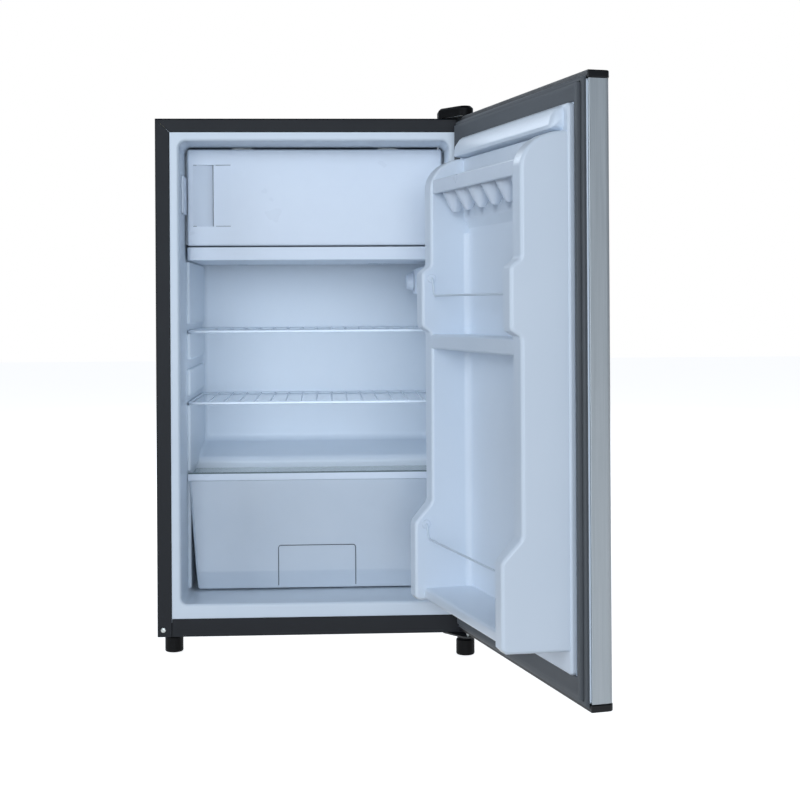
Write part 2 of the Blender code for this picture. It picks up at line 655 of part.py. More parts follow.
def column_outline(inset):
    """A door column from the side, as (y, z), drawn in by inset all round except at its back."""
    deep, middle, upper = 0.084 - inset, 0.058 - inset, 0.0715 - inset
    low, high = 0.1030 + inset, 0.745 - inset
    back = PLATEAU - 0.0015 if inset == 0 else LINER_BACK - 0.001
    return [
        (back, low),
        (deep, low),
        (deep, 0.215 - inset * 0.4),
        (middle, 0.245 - inset * 0.4),
        (middle, 0.487 + inset * 0.4),
        (upper, 0.500 + inset * 0.4),
        (upper, 0.575 - inset * 0.4),
        (middle, 0.588 - inset * 0.4),
        (middle, 0.698 - inset),
        (0.0535 - inset, 0.7130 - inset),
        (0.0440 - inset, 0.7250 - inset),
        (0.0200, 0.7370 - inset),
        (back, high),
    ]


def column(side, inset):
    """Its inner face is straight, and its outer face slopes in so that it clears the opening's edge."""
    outline = column_outline(inset)
    inner = [(side * (COLUMN_IN + inset), y, z) for y, z in outline]
    outer = [(side * (COLUMN_OUT - inset - COLUMN_TAPER * max(y, 0)), y, z) for y, z in outline]
    return loft([inner, outer])


def make_door_liner(look):
    low, high, half = DOOR_LOW + CAP + 0.0005, DOOR_HIGH - CAP - 0.0005, HALF - 0.0035
    rim_front, t = LINER_BACK + 0.002, 0.002
    ledge_half, bar_half = COLUMN_IN + 0.001, 0.186
    ledges = ((0.466, 0.487, 0.062, ledge_half), (0.1045, 0.1200, 0.0700, ledge_half))
    xs = mirrored((ledge_half, PLATEAU_HALF - t, PLATEAU_HALF, half))
    ys = sorted((LINER_BACK, rim_front, PLATEAU - t, PLATEAU, *(ledge[2] for ledge in ledges)))
    zs = [low, PLATEAU_LOW, PLATEAU_LOW + t, PLATEAU_HIGH - t, PLATEAU_HIGH, high]
    zs = sorted(zs + [z for ledge in ledges for z in ledge[:2]])

    def plastic(x, y, z):
        if y > PLATEAU:
            return any(a < z < b and y < deep and abs(x) < wide for a, b, deep, wide in ledges)
        hollow = abs(x) < PLATEAU_HALF - t and PLATEAU_LOW + t < z < PLATEAU_HIGH - t
        raised = abs(x) < PLATEAU_HALF and PLATEAU_LOW < z < PLATEAU_HIGH
        if hollow and y < PLATEAU - t:
            return False
        return y < rim_front or raised

    liner = add("door_liner", cells(xs, ys, zs, plastic), look["white"], "door_axis")
    bar = ((-0.0015, 0.7760), (0.0070, 0.7725), (0.0140, 0.7620), (0.0162, 0.7510), (0.0150, 0.7465), (-0.0015, 0.7445))
    outline = [(y - 0.0002, z) for y, z in bar]
    ends = [[(x, y, z) for y, z in outline] for x in (-bar_half, bar_half)]
    boolean(liner, loft(ends), "UNION", "door_axis")
    pad = ((-0.0016, 0.6400), (PAD_OUT, 0.6550), (PAD_OUT, 0.7430), (-0.0016, 0.7430))
    ends = [[(x, y, z) for y, z in pad] for x in (-ledge_half, ledge_half)]
    boolean(liner, loft(ends), "UNION", "door_axis")
    for side in (-1, 1):
        boolean(liner, column(side, 0), "UNION", "door_axis")
    for side in (-1, 1):
        boolean(liner, column(side, t), "DIFFERENCE", "door_axis")


def make_door_foam(look):
    low, high, half = DOOR_LOW + CAP + 0.0006, DOOR_HIGH - CAP - 0.0006, HALF - STEEL - GAP
    t = 0.0023
    xs = mirrored((PLATEAU_HALF - t, half))
    ys = (DOOR_FRONT + STEEL + GAP, SKIN_BACK - STEEL - GAP, PLATEAU - t)
    zs = (low, PLATEAU_LOW + t, PLATEAU_HIGH - t, high)

    def foam(x, y, z):
        core = abs(x) < PLATEAU_HALF - t and PLATEAU_LOW + t < z < PLATEAU_HIGH - t
        return y < SKIN_BACK - STEEL - GAP or core

    slab = cells(xs, ys, zs, foam)
    corner = [
        e
        for e in slab.edges
        if all(v.co.y < ys[0] + 1e-6 for v in e.verts) and abs(e.verts[0].co.x - e.verts[1].co.x) < 1e-6
    ]
    bmesh.ops.bevel(slab, geom=corner, offset=0.0058, segments=3, profile=0.5, affect="EDGES")
    core = add("door_foam", slab, look["foam"], "door_axis")
    for side in (-1, 1):
        boolean(core, column(side, t + 0.0006), "UNION", "door_axis")


def make_door_trim(look):
    x, y = PIVOT.x, PIVOT.y
    outline = door_outline(HALF + 0.0006, DOOR_FRONT - 0.0008, LINER_BACK + 0.0018, 0.0066)
    for word, low in (("top", DOOR_HIGH - CAP), ("bottom", DOOR_LOW)):
        cap = add(f"door_{word}_cap", flat_prism(outline, low, low + CAP), look["black"], "door_axis")
        hole = turned((x, y, 0), ((0.0073, low - 0.002), (0.0073, low + CAP + 0.002)), "z", 20)
        boolean(cap, hole, "DIFFERENCE", "door_axis")
        rings = [circle((x, y, low + a), r, "z", 20) for r, a in ((0.0070, 0.0003), (0.0070, 0.0092))]
        rings += [circle((x, y, low + a), r, "z", 20) for r, a in ((0.0043, 0.0092), (0.0043, 0.0003))]
        add(f"door_bush_{word}", tube_ring(rings), look["white"], "door_axis")
    base, bulb, top = LINER_BACK + 0.0023, -0.0075, -0.0008
    inner = PLATEAU_HALF + 0.001
    xs = mirrored((inner, 0.2150, 0.2290, 0.2360))
    zs = [DOOR_LOW + d for d in (0.004, 0.011, 0.0255, 0.0350)]
    zs += [DOOR_HIGH - d for d in (0.0337, 0.0265, 0.011, 0.004)]

    def vinyl(px, py, pz):
        if abs(px) < inner and zs[3] < pz < zs[4]:
            return False
        fat = not (abs(px) < 0.2150 and zs[2] < pz < zs[5]) and abs(px) < 0.2290 and zs[1] < pz < zs[6]
        return py < bulb or fat

    add("door_gasket", cells(xs, (base, bulb, top), zs, vinyl), look["rubber"], "door_axis")


def tube_ring(rings):
    """A ring-shaped skin through rings, closed from the last ring back to the first."""
    tool = bmesh.new()
    rows = [[tool.verts.new(point) for point in ring] for ring in rings]
    for low, high in zip(rows, rows[1:] + rows[:1]):
        for n in range(len(low)):
            m = (n + 1) % len(low)
            tool.faces.new((low[n], low[m], high[m], high[n]))
    bmesh.ops.recalc_face_normals(tool, faces=tool.faces)
    return tool


def make_door_fittings(look):
    half = COLUMN_IN - 0.001
    rack = add("egg_rack", box((-half, PAD_OUT + GAP, 0.6900), (half, 0.055, 0.7105)), look["white"], "door_axis")
    pitch = 2 * half / 6
    centres = [(-half + pitch * (n + 0.5), 0.0285, 0) for n in range(6)]
    cup = ((0.0080, 0.6620), (0.0145, 0.6700), (0.0215, 0.6915))
    cups = [turned(c, cup, "z", 14) for c in centres]
    boolean(rack, merged(*cups), "UNION", "door_axis")
    well = ((0.0066, 0.6640), (0.0130, 0.6720), (0.0200, 0.6915), (0.0200, 0.7125))
    wells = [turned(c, well, "z", 14) for c in centres]
    boolean(rack, merged(*wells), "DIFFERENCE", "door_axis")
    end = COLUMN_IN - 0.0006
    for word, high, low, out in (("upper", 0.568, 0.543, 0.0575), ("lower", 0.213, 0.192, 0.0680)):
        right = [(end, out, high), (end - 0.005, out, high), (end - 0.005, out - 0.003, low)]
        left = [(-px, py, pz) for px, py, pz in reversed(right)]
        wire(f"guard_rail_{word}", bend(right + left, 0.004), 0.0015, look["wire"], "door_axis", 2)


def settle():
    """Moves the object so that the middle of its box's base is at the origin."""
    graph = bpy.context.evaluated_depsgraph_get()
    low, high = Vector((9, 9, 9)), Vector((-9, -9, -9))
    for obj in bpy.data.objects:
        if obj.type == "EMPTY" or obj.hide_render:
            continue
        whole = obj.evaluated_get(graph)
        mesh = whole.to_mesh()
        for vertex in mesh.vertices:
            point = whole.matrix_world @ vertex.co
            low = Vector(map(min, low, point))
            high = Vector(map(max, high, point))
        whole.to_mesh_clear()
    HOLDERS["fridge"][0].location = (-(low.x + high.x) / 2, -(low.y + high.y) / 2, -low.z)
    bpy.context.view_layer.update()
    print("object box", low, high, "moved by", HOLDERS["fridge"][0].location)


def main():
    clear_scene()
    look = make_materials()
    fridge = add_empty("fridge", (0, 0, 0))
    door = add_empty("door_axis", PIVOT, fridge)
    make_shell(look)
    make_foam(look)
    make_liner(look)
    make_base(look)
    make_compressor(look)
    make_tubes(look)
    make_evaporator(look)
    make_freezer_door(look)
    make_drip_tray(look)
    make_thermostat(look)
    make_shelf("shelf_upper", SHELF_UPPER_Z, look)
    make_shelf("shelf_lower", SHELF_LOWER_Z, look)
    make_crisper(look)
    make_hinges(look)
    make_door_panel(look)
    make_door_liner(look)
    make_door_foam(look)
    make_door_trim(look)
    make_door_fittings(look)
    door.rotation_euler = (0, 0, DOOR_OPEN)
    bpy.context.view_layer.update()
    settle()


main()
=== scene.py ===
"""Looks for a compact refrigerator standing with its door open.

Everything is laid out in the cabinet's own frame: x = 0 is its middle, y = 0 the plane of its front edges and
z = 0 the floor. Door pieces are laid out shut and then turned open with the door. All sizes are in metres.
"""

import json
import math

import bmesh
import bpy
from mathutils import Matrix, Vector


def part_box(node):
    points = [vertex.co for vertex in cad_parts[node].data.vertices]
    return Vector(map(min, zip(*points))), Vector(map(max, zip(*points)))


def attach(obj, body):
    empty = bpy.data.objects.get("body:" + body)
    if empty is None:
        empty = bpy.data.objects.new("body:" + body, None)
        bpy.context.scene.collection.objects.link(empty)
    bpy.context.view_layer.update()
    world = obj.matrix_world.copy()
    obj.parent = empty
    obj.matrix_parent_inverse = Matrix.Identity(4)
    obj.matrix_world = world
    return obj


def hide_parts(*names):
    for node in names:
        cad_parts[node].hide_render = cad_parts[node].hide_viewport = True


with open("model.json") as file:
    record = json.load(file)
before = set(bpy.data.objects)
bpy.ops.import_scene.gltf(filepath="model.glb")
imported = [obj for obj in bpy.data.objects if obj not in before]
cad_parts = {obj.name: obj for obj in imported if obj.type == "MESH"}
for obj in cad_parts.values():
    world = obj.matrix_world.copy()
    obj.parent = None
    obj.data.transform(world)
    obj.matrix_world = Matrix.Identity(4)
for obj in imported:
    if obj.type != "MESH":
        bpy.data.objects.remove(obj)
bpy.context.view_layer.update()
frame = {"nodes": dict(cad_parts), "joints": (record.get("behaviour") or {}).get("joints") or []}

# --- the cabinet's frame and the door's -----------------------------------------------------------------
shell_low, shell_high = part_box("cabinet_shell")
CABINET = Matrix.Translation(((shell_low.x + shell_high.x) / 2, shell_low.y, 0))
DOOR_OPEN = math.radians(104)
door_joint = next(j for j in frame["joints"] if j["name"] == "door_swing")
HINGE = Vector((door_joint["pos_m"][0], door_joint["pos_m"][1], 0))
PIVOT = CABINET.inverted() @ HINGE
DOOR = Matrix.Translation(HINGE) @ Matrix.Rotation(DOOR_OPEN, 4, "Z") @ Matrix.Translation(-PIVOT)

HALF = (shell_high.x - shell_low.x) / 2
TOP_Z = shell_high.z
BASE_Z = shell_low.z
DEPTH = shell_high.y - shell_low.y
SHEET = 0.001
FLANGE = 0.022
TOP_FLANGE = 0.021
RAIL_TOP = 0.0591
OPEN_HALF = 0.204
FLOOR_Z = 0.0805
CEILING_Z = 0.7787
INNER_DEPTH = 0.378
PAD = 0.006
PAD_FRONT = 0.1075
GROOVE = 0.0145
TRAY_Z = 0.6015
SHELF_ZS = (0.4872, 0.3740)
SPARE_Z = 0.4305
COVER_Z = 0.2550
HUMP_FRONT, HUMP_TOP, HUMP_BACK = 0.250, 0.278, 0.2918
LINER_BACK, PLATEAU = -0.0122, -0.001
COLUMN_IN, COLUMN_OUT, COLUMN_TAPER = 0.162, 0.200, 0.135


# --- materials ------------------------------------------------------------------------------------------
def linear(code):
    """A linear colour from an sRGB hex code."""
    parts = [int(code[n : n + 2], 16) / 255 for n in (1, 3, 5)]
    return (*[c / 12.92 if c <= 0.04045 else ((c + 0.055) / 1.055) ** 2.4 for c in parts], 1.0)


def add_node(tree, kind, settings=(), sockets=()):
    """One node with its settings, and its sockets set to values or linked from other sockets."""
    made = tree.nodes.new(kind)
    for key, value in dict(settings).items():
        setattr(made, key, value)
    for key, value in dict(sockets).items():
        if isinstance(value, bpy.types.NodeSocket):
            tree.links.new(value, made.inputs[key])
        else:
            made.inputs[key].default_value = value
    return made


EVEN = (1, 1, 1)


def finish_of(
    name,
    shades,
    roughness,
    metallic=0.0,
    tone=(40, EVEN),
    gloss=0.03,
    relief=(3.0, EVEN, 0.00005),
    detail=3.0,
    **constants,
):
    """A finish whose colour drifts between two shades, with an uneven gloss and a fine relief.

    tone is (pattern size in mm, stretch per axis), and relief is the same with its depth in metres.
    """
    made = bpy.data.materials.new(name)
    made.use_nodes = True
    tree = made.node_tree
    shader = tree.nodes["Principled BSDF"]
    spot = add_node(tree, "ShaderNodeTexCoord").outputs["Object"]
    drawn = add_node(tree, "ShaderNodeMapping", sockets={"Vector": spot, "Scale": tone[1]}).outputs[0]
    drift = add_node(
        tree, "ShaderNodeTexNoise", sockets={"Vector": drawn, "Scale": 1000 / tone[0], "Detail": detail}
    ).outputs[0]
    blend = add_node(tree, "ShaderNodeValToRGB", sockets={"Fac": drift})
    blend.color_ramp.elements[0].position = 0.32
    blend.color_ramp.elements[1].position = 0.68
    blend.color_ramp.elements[0].color = linear(shades[0])
    blend.color_ramp.elements[1].color = linear(shades[1])
    tree.links.new(blend.outputs[0], shader.inputs["Base Color"])
    rough = add_node(
        tree,
        "ShaderNodeMapRange",
        sockets={
            "Value": drift,
            "From Min": 0.3,
            "From Max": 0.7,
            "To Min": roughness - gloss,
            "To Max": roughness + gloss,
        },
    )
    tree.links.new(rough.outputs[0], shader.inputs["Roughness"])
    cut = add_node(tree, "ShaderNodeMapping", sockets={"Vector": spot, "Scale": relief[1]}).outputs[0]
    grain = add_node(
        tree, "ShaderNodeTexNoise", sockets={"Vector": cut, "Scale": 1000 / relief[0], "Detail": 2.0}
    ).outputs[0]
    bump = add_node(tree, "ShaderNodeBump", sockets={"Height": grain, "Distance": relief[2], "Strength": 0.8})
    tree.links.new(bump.outputs[0], shader.inputs["Normal"])
    shader.inputs["Metallic"].default_value = metallic
    for key, value in constants.items():
        shader.inputs[key.replace("_", " ")].default_value = value
    made["coordinates"] = spot.node.name
    return made


# Powder-coated sheet steel: a dark charcoal with a soft sheen and a faint orange peel, 2 mm across.
charcoal = finish_of(
    "charcoal_powder_coat",
    ("#191b1f", "#1d1f23"),
    0.48,
    tone=(60, EVEN),
    relief=(2.0, EVEN, 0.00006),
    Specular_IOR_Level=0.2,
)
# Vacuum-formed polystyrene: cool white, softly glossy, slightly wavy where the sheet was drawn thin.
polystyrene = finish_of(
    "vacuum_formed_polystyrene",
    ("#e5eef7", "#eaf2fa"),
    0.34,
    tone=(120, (1, 1, 0.6)),
    relief=(14.0, EVEN, 0.00010),
)
# The door's liner is the same sheet, drawn deeper, so its waviness is longer.
door_polystyrene = finish_of(
    "deep_drawn_polystyrene",
    ("#e5eef8", "#eaf2fb"),
    0.32,
    tone=(150, (1, 1, 0.5)),
    relief=(18.0, EVEN, 0.00015),
)
# Injection-moulded polystyrene of the flap, tray and rack: a little glossier, with a fine even texture.
moulded = finish_of(
    "moulded_polystyrene", ("#e5edf8", "#e9f1fb"), 0.30, tone=(70, EVEN), relief=(4.0, EVEN, 0.00006)
)
# Crisper drawer: milky clear polystyrene, so light goes into it and comes out soft.
milky = finish_of(
    "milky_clear_polystyrene",
    ("#e2ecf7", "#e7f0fa"),
    0.24,
    tone=(90, EVEN),
    relief=(5.0, EVEN, 0.00005),
    Transmission_Weight=0.25,
    IOR=1.55,
)
# Painted shade: dark grey polystyrene on the walls of the tab's slot and the flap's grooves, standing in for
# the shade down inside them.
slot_shade_grey = finish_of(
    "grey_slot_polystyrene", ("#56606a", "#5e6872"), 0.5, tone=(10, EVEN), relief=(2.0, EVEN, 0.00003)
)
# Vinyl-dipped wire: white and waxy, thick enough to round every joint.
dipped_wire = finish_of(
    "vinyl_dipped_wire", ("#dbe5ef", "#e1eaf3"), 0.36, tone=(25, EVEN), relief=(3.0, EVEN, 0.00008)
)
# Tempered soda-lime glass with its green cast.
glass = finish_of(
    "tempered_glass",
    ("#dcebe9", "#e3f0ee"),
    0.06,
    tone=(80, EVEN),
    gloss=0.02,
    relief=(60.0, EVEN, 0.00005),
    Transmission_Weight=0.9,
    IOR=1.5,
)
# The ground edge of that glass: matt, and dark green because one looks through its whole depth.
ground_glass = finish_of(
    "ground_glass_edge", ("#4c5f62", "#566a6c"), 0.45, tone=(15, EVEN), relief=(1.0, EVEN, 0.00003)
)
# Brushed silver steel laminate: fine upright brush marks, drawn 1 mm wide so that they show.
brushed = finish_of(
    "brushed_steel_laminate",
    ("#adb3b6", "#b6bbbe"),
    0.40,
    metallic=0.35,
    tone=(1.2, (1, 1, 0.012)),
    gloss=0.07,
    relief=(1.0, (1, 1, 0.015), 0.00003),
)
# Moulded black ABS: spark-eroded texture that takes the shine off.
black_abs = finish_of(
    "textured_black_abs", ("#060607", "#0a0a0b"), 0.50, relief=(1.2, EVEN, 0.00008), Specular_IOR_Level=0.12
)
# The door's end caps: the same ABS with a finer grain, so that its face reads dark grey.
grained_abs = finish_of(
    "grained_black_abs", ("#0f1012", "#141517"), 0.42, relief=(0.8, EVEN, 0.00005), Specular_IOR_Level=0.25
)
# Magnetic door seal: soft grey PVC with a dry matt skin.
seal_vinyl = finish_of(
    "grey_pvc_seal", ("#4c5054", "#515559"), 0.58, tone=(35, EVEN), relief=(2.0, EVEN, 0.00005)
)
# Zinc-plated steel of pins and screws.
zinc = finish_of(
    "bright_zinc_plate",
    ("#a9acaa", "#c0c2bd"),
    0.30,
    metallic=1.0,
    tone=(6, EVEN),
    relief=(0.8, EVEN, 0.00002),
)
# Hot-dip galvanised sheet of the back and the base, with its frosty spangle.
galvanised = finish_of(
    "galvanised_sheet", ("#8f9496", "#b2b6b7"), 0.44, metallic=0.9, tone=(9, EVEN), gloss=0.1, detail=0.0
)
# Rolled aluminium of the evaporator, with a faint rolling grain front to back.
rolled_aluminium = finish_of(
    "rolled_aluminium",
    ("#aeb3b7", "#bcc0c3"),
    0.50,
    metallic=1.0,
    tone=(2.5, (1, 0.03, 1)),
    relief=(1.5, (1, 0.03, 1), 0.00002),
)
# Drawn copper tube, dulled by handling.
drawn_copper = finish_of(
    "drawn_copper",
    ("#9a5a3c", "#bd7450"),
    0.34,
    metallic=1.0,
    tone=(12, EVEN),
    relief=(1.0, EVEN, 0.00002),
)
# Black stoving enamel of the compressor and the condenser.
black_enamel = finish_of(
    "black_stoving_enamel", ("#121314", "#1b1c1e"), 0.34, tone=(18, EVEN), relief=(2.0, EVEN, 0.00008)
)
# Compression-moulded rubber of the compressor's grommets.
rubber = finish_of(
    "moulded_rubber", ("#1a1a1b", "#242425"), 0.75, tone=(10, EVEN), relief=(0.9, EVEN, 0.0001)
)
# Rigid polyurethane foam, poured between the skins: straw yellow with open cells.
foam = finish_of(
    "polyurethane_foam", ("#d9c48a", "#e6d6a4"), 0.88, tone=(8, EVEN), relief=(1.5, EVEN, 0.0004)
)


def add_spangle(made):
    """The crystal pattern of galvanised sheet: flat cells about 9 mm across, each with its own shade."""
    tree = made.node_tree
    cells = add_node(
        tree,
        "ShaderNodeTexVoronoi",
        sockets={"Vector": tree.nodes[made["coordinates"]].outputs["Object"], "Scale": 110.0},
    )
    ramp = next(n for n in tree.nodes if n.bl_idname == "ShaderNodeValToRGB")
    ramp.color_ramp.elements[0].position, ramp.color_ramp.elements[1].position = 0.1, 0.9
    tree.links.new(cells.outputs["Color"], ramp.inputs["Fac"])


add_spangle(galvanised)


# --- tools ----------------------------------------------------------------------------------------------
def mesh_object(name, mesh, *looks):
    made = bpy.data.objects.new(name, mesh)
    bpy.context.scene.collection.objects.link(made)
    for look in looks:
        mesh.materials.append(look)
    return made


def from_bmesh(name, tool, *looks):
    mesh = bpy.data.meshes.new(name)
    tool.to_mesh(mesh)
    tool.free()
    return mesh_object(name, mesh, *looks)


def bake_modifiers(obj):
    """Replaces the object's mesh by its evaluated one and drops its modifiers."""
    bpy.context.view_layer.update()
    mesh = bpy.data.meshes.new_from_object(obj.evaluated_get(bpy.context.evaluated_depsgraph_get()))
    obj.modifiers.clear()
    if obj.type != "MESH":
        name, looks = obj.name, list(obj.data.materials)
        bpy.data.objects.remove(obj)
        mesh.materials.clear()
        return mesh_object(name, mesh, *looks)
    obj.data = mesh
    return obj


def place(obj, matrix, body, replaces=(), angle=38):
    """Finishes a piece: puts it in the world, smooths it, and lets it ride on its body."""
    if obj.modifiers or obj.type != "MESH":
        obj = bake_modifiers(obj)
    obj.data.transform(matrix)
    obj.data.shade_smooth()
    obj.data.set_sharp_from_angle(angle=math.radians(angle))
    weights = obj.modifiers.new("even_shading", "WEIGHTED_NORMAL")
    weights.keep_sharp = True
    weights.weight = 80
    obj = bake_modifiers(obj)
    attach(obj, body)
    if replaces:
        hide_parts(*replaces)
    return obj


def bevel(obj, width, segments=3, angle=35):
    step = obj.modifiers.new("bevel", "BEVEL")
    step.width = width
    step.segments = segments
    step.limit_method = "ANGLE"
    step.angle_limit = math.radians(angle)
    step.use_clamp_overlap = True
    return obj


def rounded(obj, width, segments, angle=50):
    """The object with its edges rounded at once, ready for a Boolean."""
    return bake_modifiers(bevel(obj, width, segments, angle))


def join_meshes(name, objects):
    """One mesh object out of several, keeping each one's material."""
    tool = bmesh.new()
    looks = []
    for obj in objects:
        if obj.modifiers or obj.type != "MESH":
            obj = bake_modifiers(obj)
        start = len(tool.faces)
        tool.from_mesh(obj.data)
        tool.faces.ensure_lookup_table()
        slots = []
        for look in obj.data.materials:
            if look not in looks:
                looks.append(look)
            slots.append(looks.index(look))
        for face in tool.faces[start:]:
            face.material_index = slots[min(face.material_index, len(slots) - 1)]
        bpy.data.objects.remove(obj)
    return from_bmesh(name, tool, *looks)


def box(low, high):
    tool = bmesh.new()
    bmesh.ops.create_cube(tool, size=1)
    for vert in tool.verts:
        vert.co = Vector([(a + b) / 2 + v * (b - a) for a, b, v in zip(low, high, vert.co)])
    return tool


def skin(rings, cap_first=True):
    """A skin through closed rings of points, capped at its last ring and, if cap_first, at its first."""
    tool = bmesh.new()
    rows = [[tool.verts.new(point) for point in ring] for ring in rings]
    count = len(rows[0])
    for low, high in zip(rows, rows[1:]):
        for n in range(count):
            m = (n + 1) % count
            tool.faces.new((low[n], low[m], high[m], high[n]))
    if cap_first:
        tool.faces.new(reversed(rows[0]))
    tool.faces.new(rows[-1])
    return tool


def solid(rings):
    tool = skin(rings)
    bmesh.ops.recalc_face_normals(tool, faces=tool.faces)
    return tool


def ring_of(centre, radius, axis="z", count=48):
    points = []
    for n in range(count):
        a, b = radius * math.cos(2 * math.pi * n / count), radius * math.sin(2 * math.pi * n / count)
        points.append(Vector(centre) + Vector({"x": (0, a, b), "y": (b, 0, a), "z": (a, b, 0)}[axis]))
    return points


def lathe(centre, profile, axis="z", count=48):
    """A turned solid from (radius, height along the axis) pairs."""
    way = Vector({"x": (1, 0, 0), "y": (0, 1, 0), "z": (0, 0, 1)}[axis])
    return solid([ring_of(Vector(centre) + way * height, radius, axis, count) for radius, height in profile])


def round_rect(low, high, radius, steps=6):
    """A rectangle with round corners as (u, v) pairs, anticlockwise."""
    points = []
    corners = (
        (high[0] - radius, high[1] - radius, 0),
        (low[0] + radius, high[1] - radius, 90),
        (low[0] + radius, low[1] + radius, 180),
        (high[0] - radius, low[1] + radius, 270),
    )
    for u, v, start in corners:
        for n in range(steps + 1):
            turn = math.radians(start + 90 * n / steps)
            points.append((u + radius * math.cos(turn), v + radius * math.sin(turn)))
    return points


def prism(outline, low, high, axis="z"):
    """An outline swept along an axis: (x, y) along z, (x, z) along y, or (y, z) along x."""
    def point(a, b, c):
        return Vector({"z": (a, b, c), "y": (a, c, b), "x": (c, a, b)}[axis])

    return solid([[point(a, b, c) for a, b in outline] for c in (low, high)])


def combine(obj, other, operation):
    """Adds one object to another or cuts it away, and removes it."""
    step = obj.modifiers.new(operation.lower(), "BOOLEAN")
    step.operation = operation
    step.solver = "EXACT"
    step.object = other
    obj = bake_modifiers(obj)
    bpy.data.objects.remove(other)
    return obj


def rod(name, points, radius, look, closed=False, resolution=3):
    """A round rod along points."""
    curve = bpy.data.curves.new(name, "CURVE")
    curve.dimensions = "3D"
    curve.bevel_depth = radius
    curve.bevel_resolution = resolution
    curve.use_fill_caps = True
    spline = curve.splines.new("POLY")
    spline.points.add(len(points) - 1)
    for slot, point in zip(spline.points, points):
        slot.co = (*point, 1.0)
    spline.use_cyclic_u = closed
    curve.materials.append(look)
    obj = bpy.data.objects.new(name, curve)
    bpy.context.scene.collection.objects.link(obj)
    return bake_modifiers(obj)


def eased(points, radius, steps=6):
    """A route through points with each corner rounded."""
    points = [Vector(p) for p in points]
    route = [points[0]]
    for before, here, after in zip(points, points[1:], points[2:]):
        cut = min(radius, (before - here).length / 2.1, (after - here).length / 2.1)
        start = here + (before - here).normalized() * cut
        end = here + (after - here).normalized() * cut
        for n in range(steps + 1):
            t = n / steps
            route.append((1 - t) ** 2 * start + 2 * t * (1 - t) * here + t * t * end)
    return route + [points[-1]]


def refined(node, look, body, width):
    """A CAD node's own shape with rounded edges and smooth shading."""
    tool = bmesh.new()
    tool.from_mesh(frame["nodes"][node].data)
    bmesh.ops.remove_doubles(tool, verts=tool.verts, dist=0.00001)
    bmesh.ops.dissolve_limit(tool, angle_limit=math.radians(0.5), verts=tool.verts, edges=tool.edges)
    obj = from_bmesh(f"{node}_finished", tool, look)
    obj.data.transform(CABINET.inverted())
    if width:
        bevel(obj, width, angle=38)
    return place(obj, CABINET, body, (node,))


def dress(node, look):
    """A CAD node keeps its shape and takes a finish."""
    mesh = frame["nodes"][node].data
    mesh.materials.clear()
    mesh.materials.append(look)


# --- geometry nodes -------------------------------------------------------------------------------------
def grow(name, tree, look, inputs):
    """A mesh object grown by a tree from its named inputs."""
    host = mesh_object(name, bpy.data.meshes.new(name))
    step = host.modifiers.new("grown", "NODES")
    step.node_group = tree
    sockets = {s.name: s.identifier for s in tree.interface.items_tree if s.item_type == "SOCKET"}
    for key, value in inputs.items():
        step[sockets[key]] = value
    host = bake_modifiers(host)
    host.data.materials.clear()
    host.data.materials.append(look)
    return host


def new_tree(name, floats=(), integers=(), vectors=()):
    tree = bpy.data.node_groups.new(name, "GeometryNodeTree")
    kinds = (("NodeSocketFloat", floats), ("NodeSocketInt", integers), ("NodeSocketVector", vectors))
    for kind, names in kinds:
        for key in names:
            tree.interface.new_socket(key, in_out="INPUT", socket_type=kind)
    tree.interface.new_socket("Geometry", in_out="OUTPUT", socket_type="NodeSocketGeometry")
    return tree, add_node(tree, "NodeGroupInput").outputs


def close_tree(tree, geometry, look):
    real = add_node(tree, "GeometryNodeRealizeInstances", sockets={"Geometry": geometry}).outputs[0]
    named = add_node(tree, "GeometryNodeSetMaterial", sockets={"Geometry": real, "Material": look}).outputs[0]
    add_node(tree, "NodeGroupOutput", sockets={"Geometry": named})
    return tree


def rod_row_tree(look):
    """A row of equal round rods: the first runs from Start to End, and each next one is shifted by Step."""
    tree, given = new_tree("rod_row", ("Radius",), ("Count", "Sides"), ("Start", "End", "Step"))
    line = add_node(
        tree, "GeometryNodeCurvePrimitiveLine", sockets={"Start": given["Start"], "End": given["End"]}
    )
    hoop = add_node(
        tree,
        "GeometryNodeCurvePrimitiveCircle",
        sockets={"Resolution": given["Sides"], "Radius": given["Radius"]},
    )
    single = add_node(
        tree,
        "GeometryNodeCurveToMesh",
        sockets={"Curve": line.outputs[0], "Profile Curve": hoop.outputs[0], "Fill Caps": True},
    )
    spots = add_node(
        tree,
        "GeometryNodeMeshLine",
        sockets={"Count": given["Count"], "Start Location": (0, 0, 0), "Offset": given["Step"]},
    )
    row = add_node(
        tree,
        "GeometryNodeInstanceOnPoints",
        sockets={"Points": spots.outputs[0], "Instance": single.outputs[0]},
    )
    return close_tree(tree, row.outputs[0], look)


def rows_of_rods(name, look, start, end, step, count, radius, sides=12):
    return grow(
        name,
        rod_row_tree(look),
        look,
        {"Radius": radius, "Count": count, "Sides": sides, "Start": start, "End": end, "Step": step},
    )


def scatter_tree(look, source):
    """Copies of one small mesh on the points of another, turned by Turn."""
    tree, given = new_tree("scatter", (), ("Count",), ("Turn", "Start", "Step"))
    spots = add_node(
        tree,
        "GeometryNodeMeshLine",
        sockets={"Count": given["Count"], "Start Location": given["Start"], "Offset": given["Step"]},
    )
    shape = add_node(tree, "GeometryNodeObjectInfo", sockets={"Object": source})
    turn = add_node(tree, "FunctionNodeEulerToRotation", sockets={"Euler": given["Turn"]})
    row = add_node(
        tree,
        "GeometryNodeInstanceOnPoints",
        sockets={
            "Points": spots.outputs[0],
            "Instance": shape.outputs["Geometry"],
            "Rotation": turn.outputs[0],
        },
    )
    return close_tree(tree, row.outputs[0], look)


def copies_of(name, source, look, start, step, count, turn=(0, 0, 0)):
    return grow(
        name, scatter_tree(look, source), look, {"Turn": turn, "Start": start, "Step": step, "Count": count}
    )


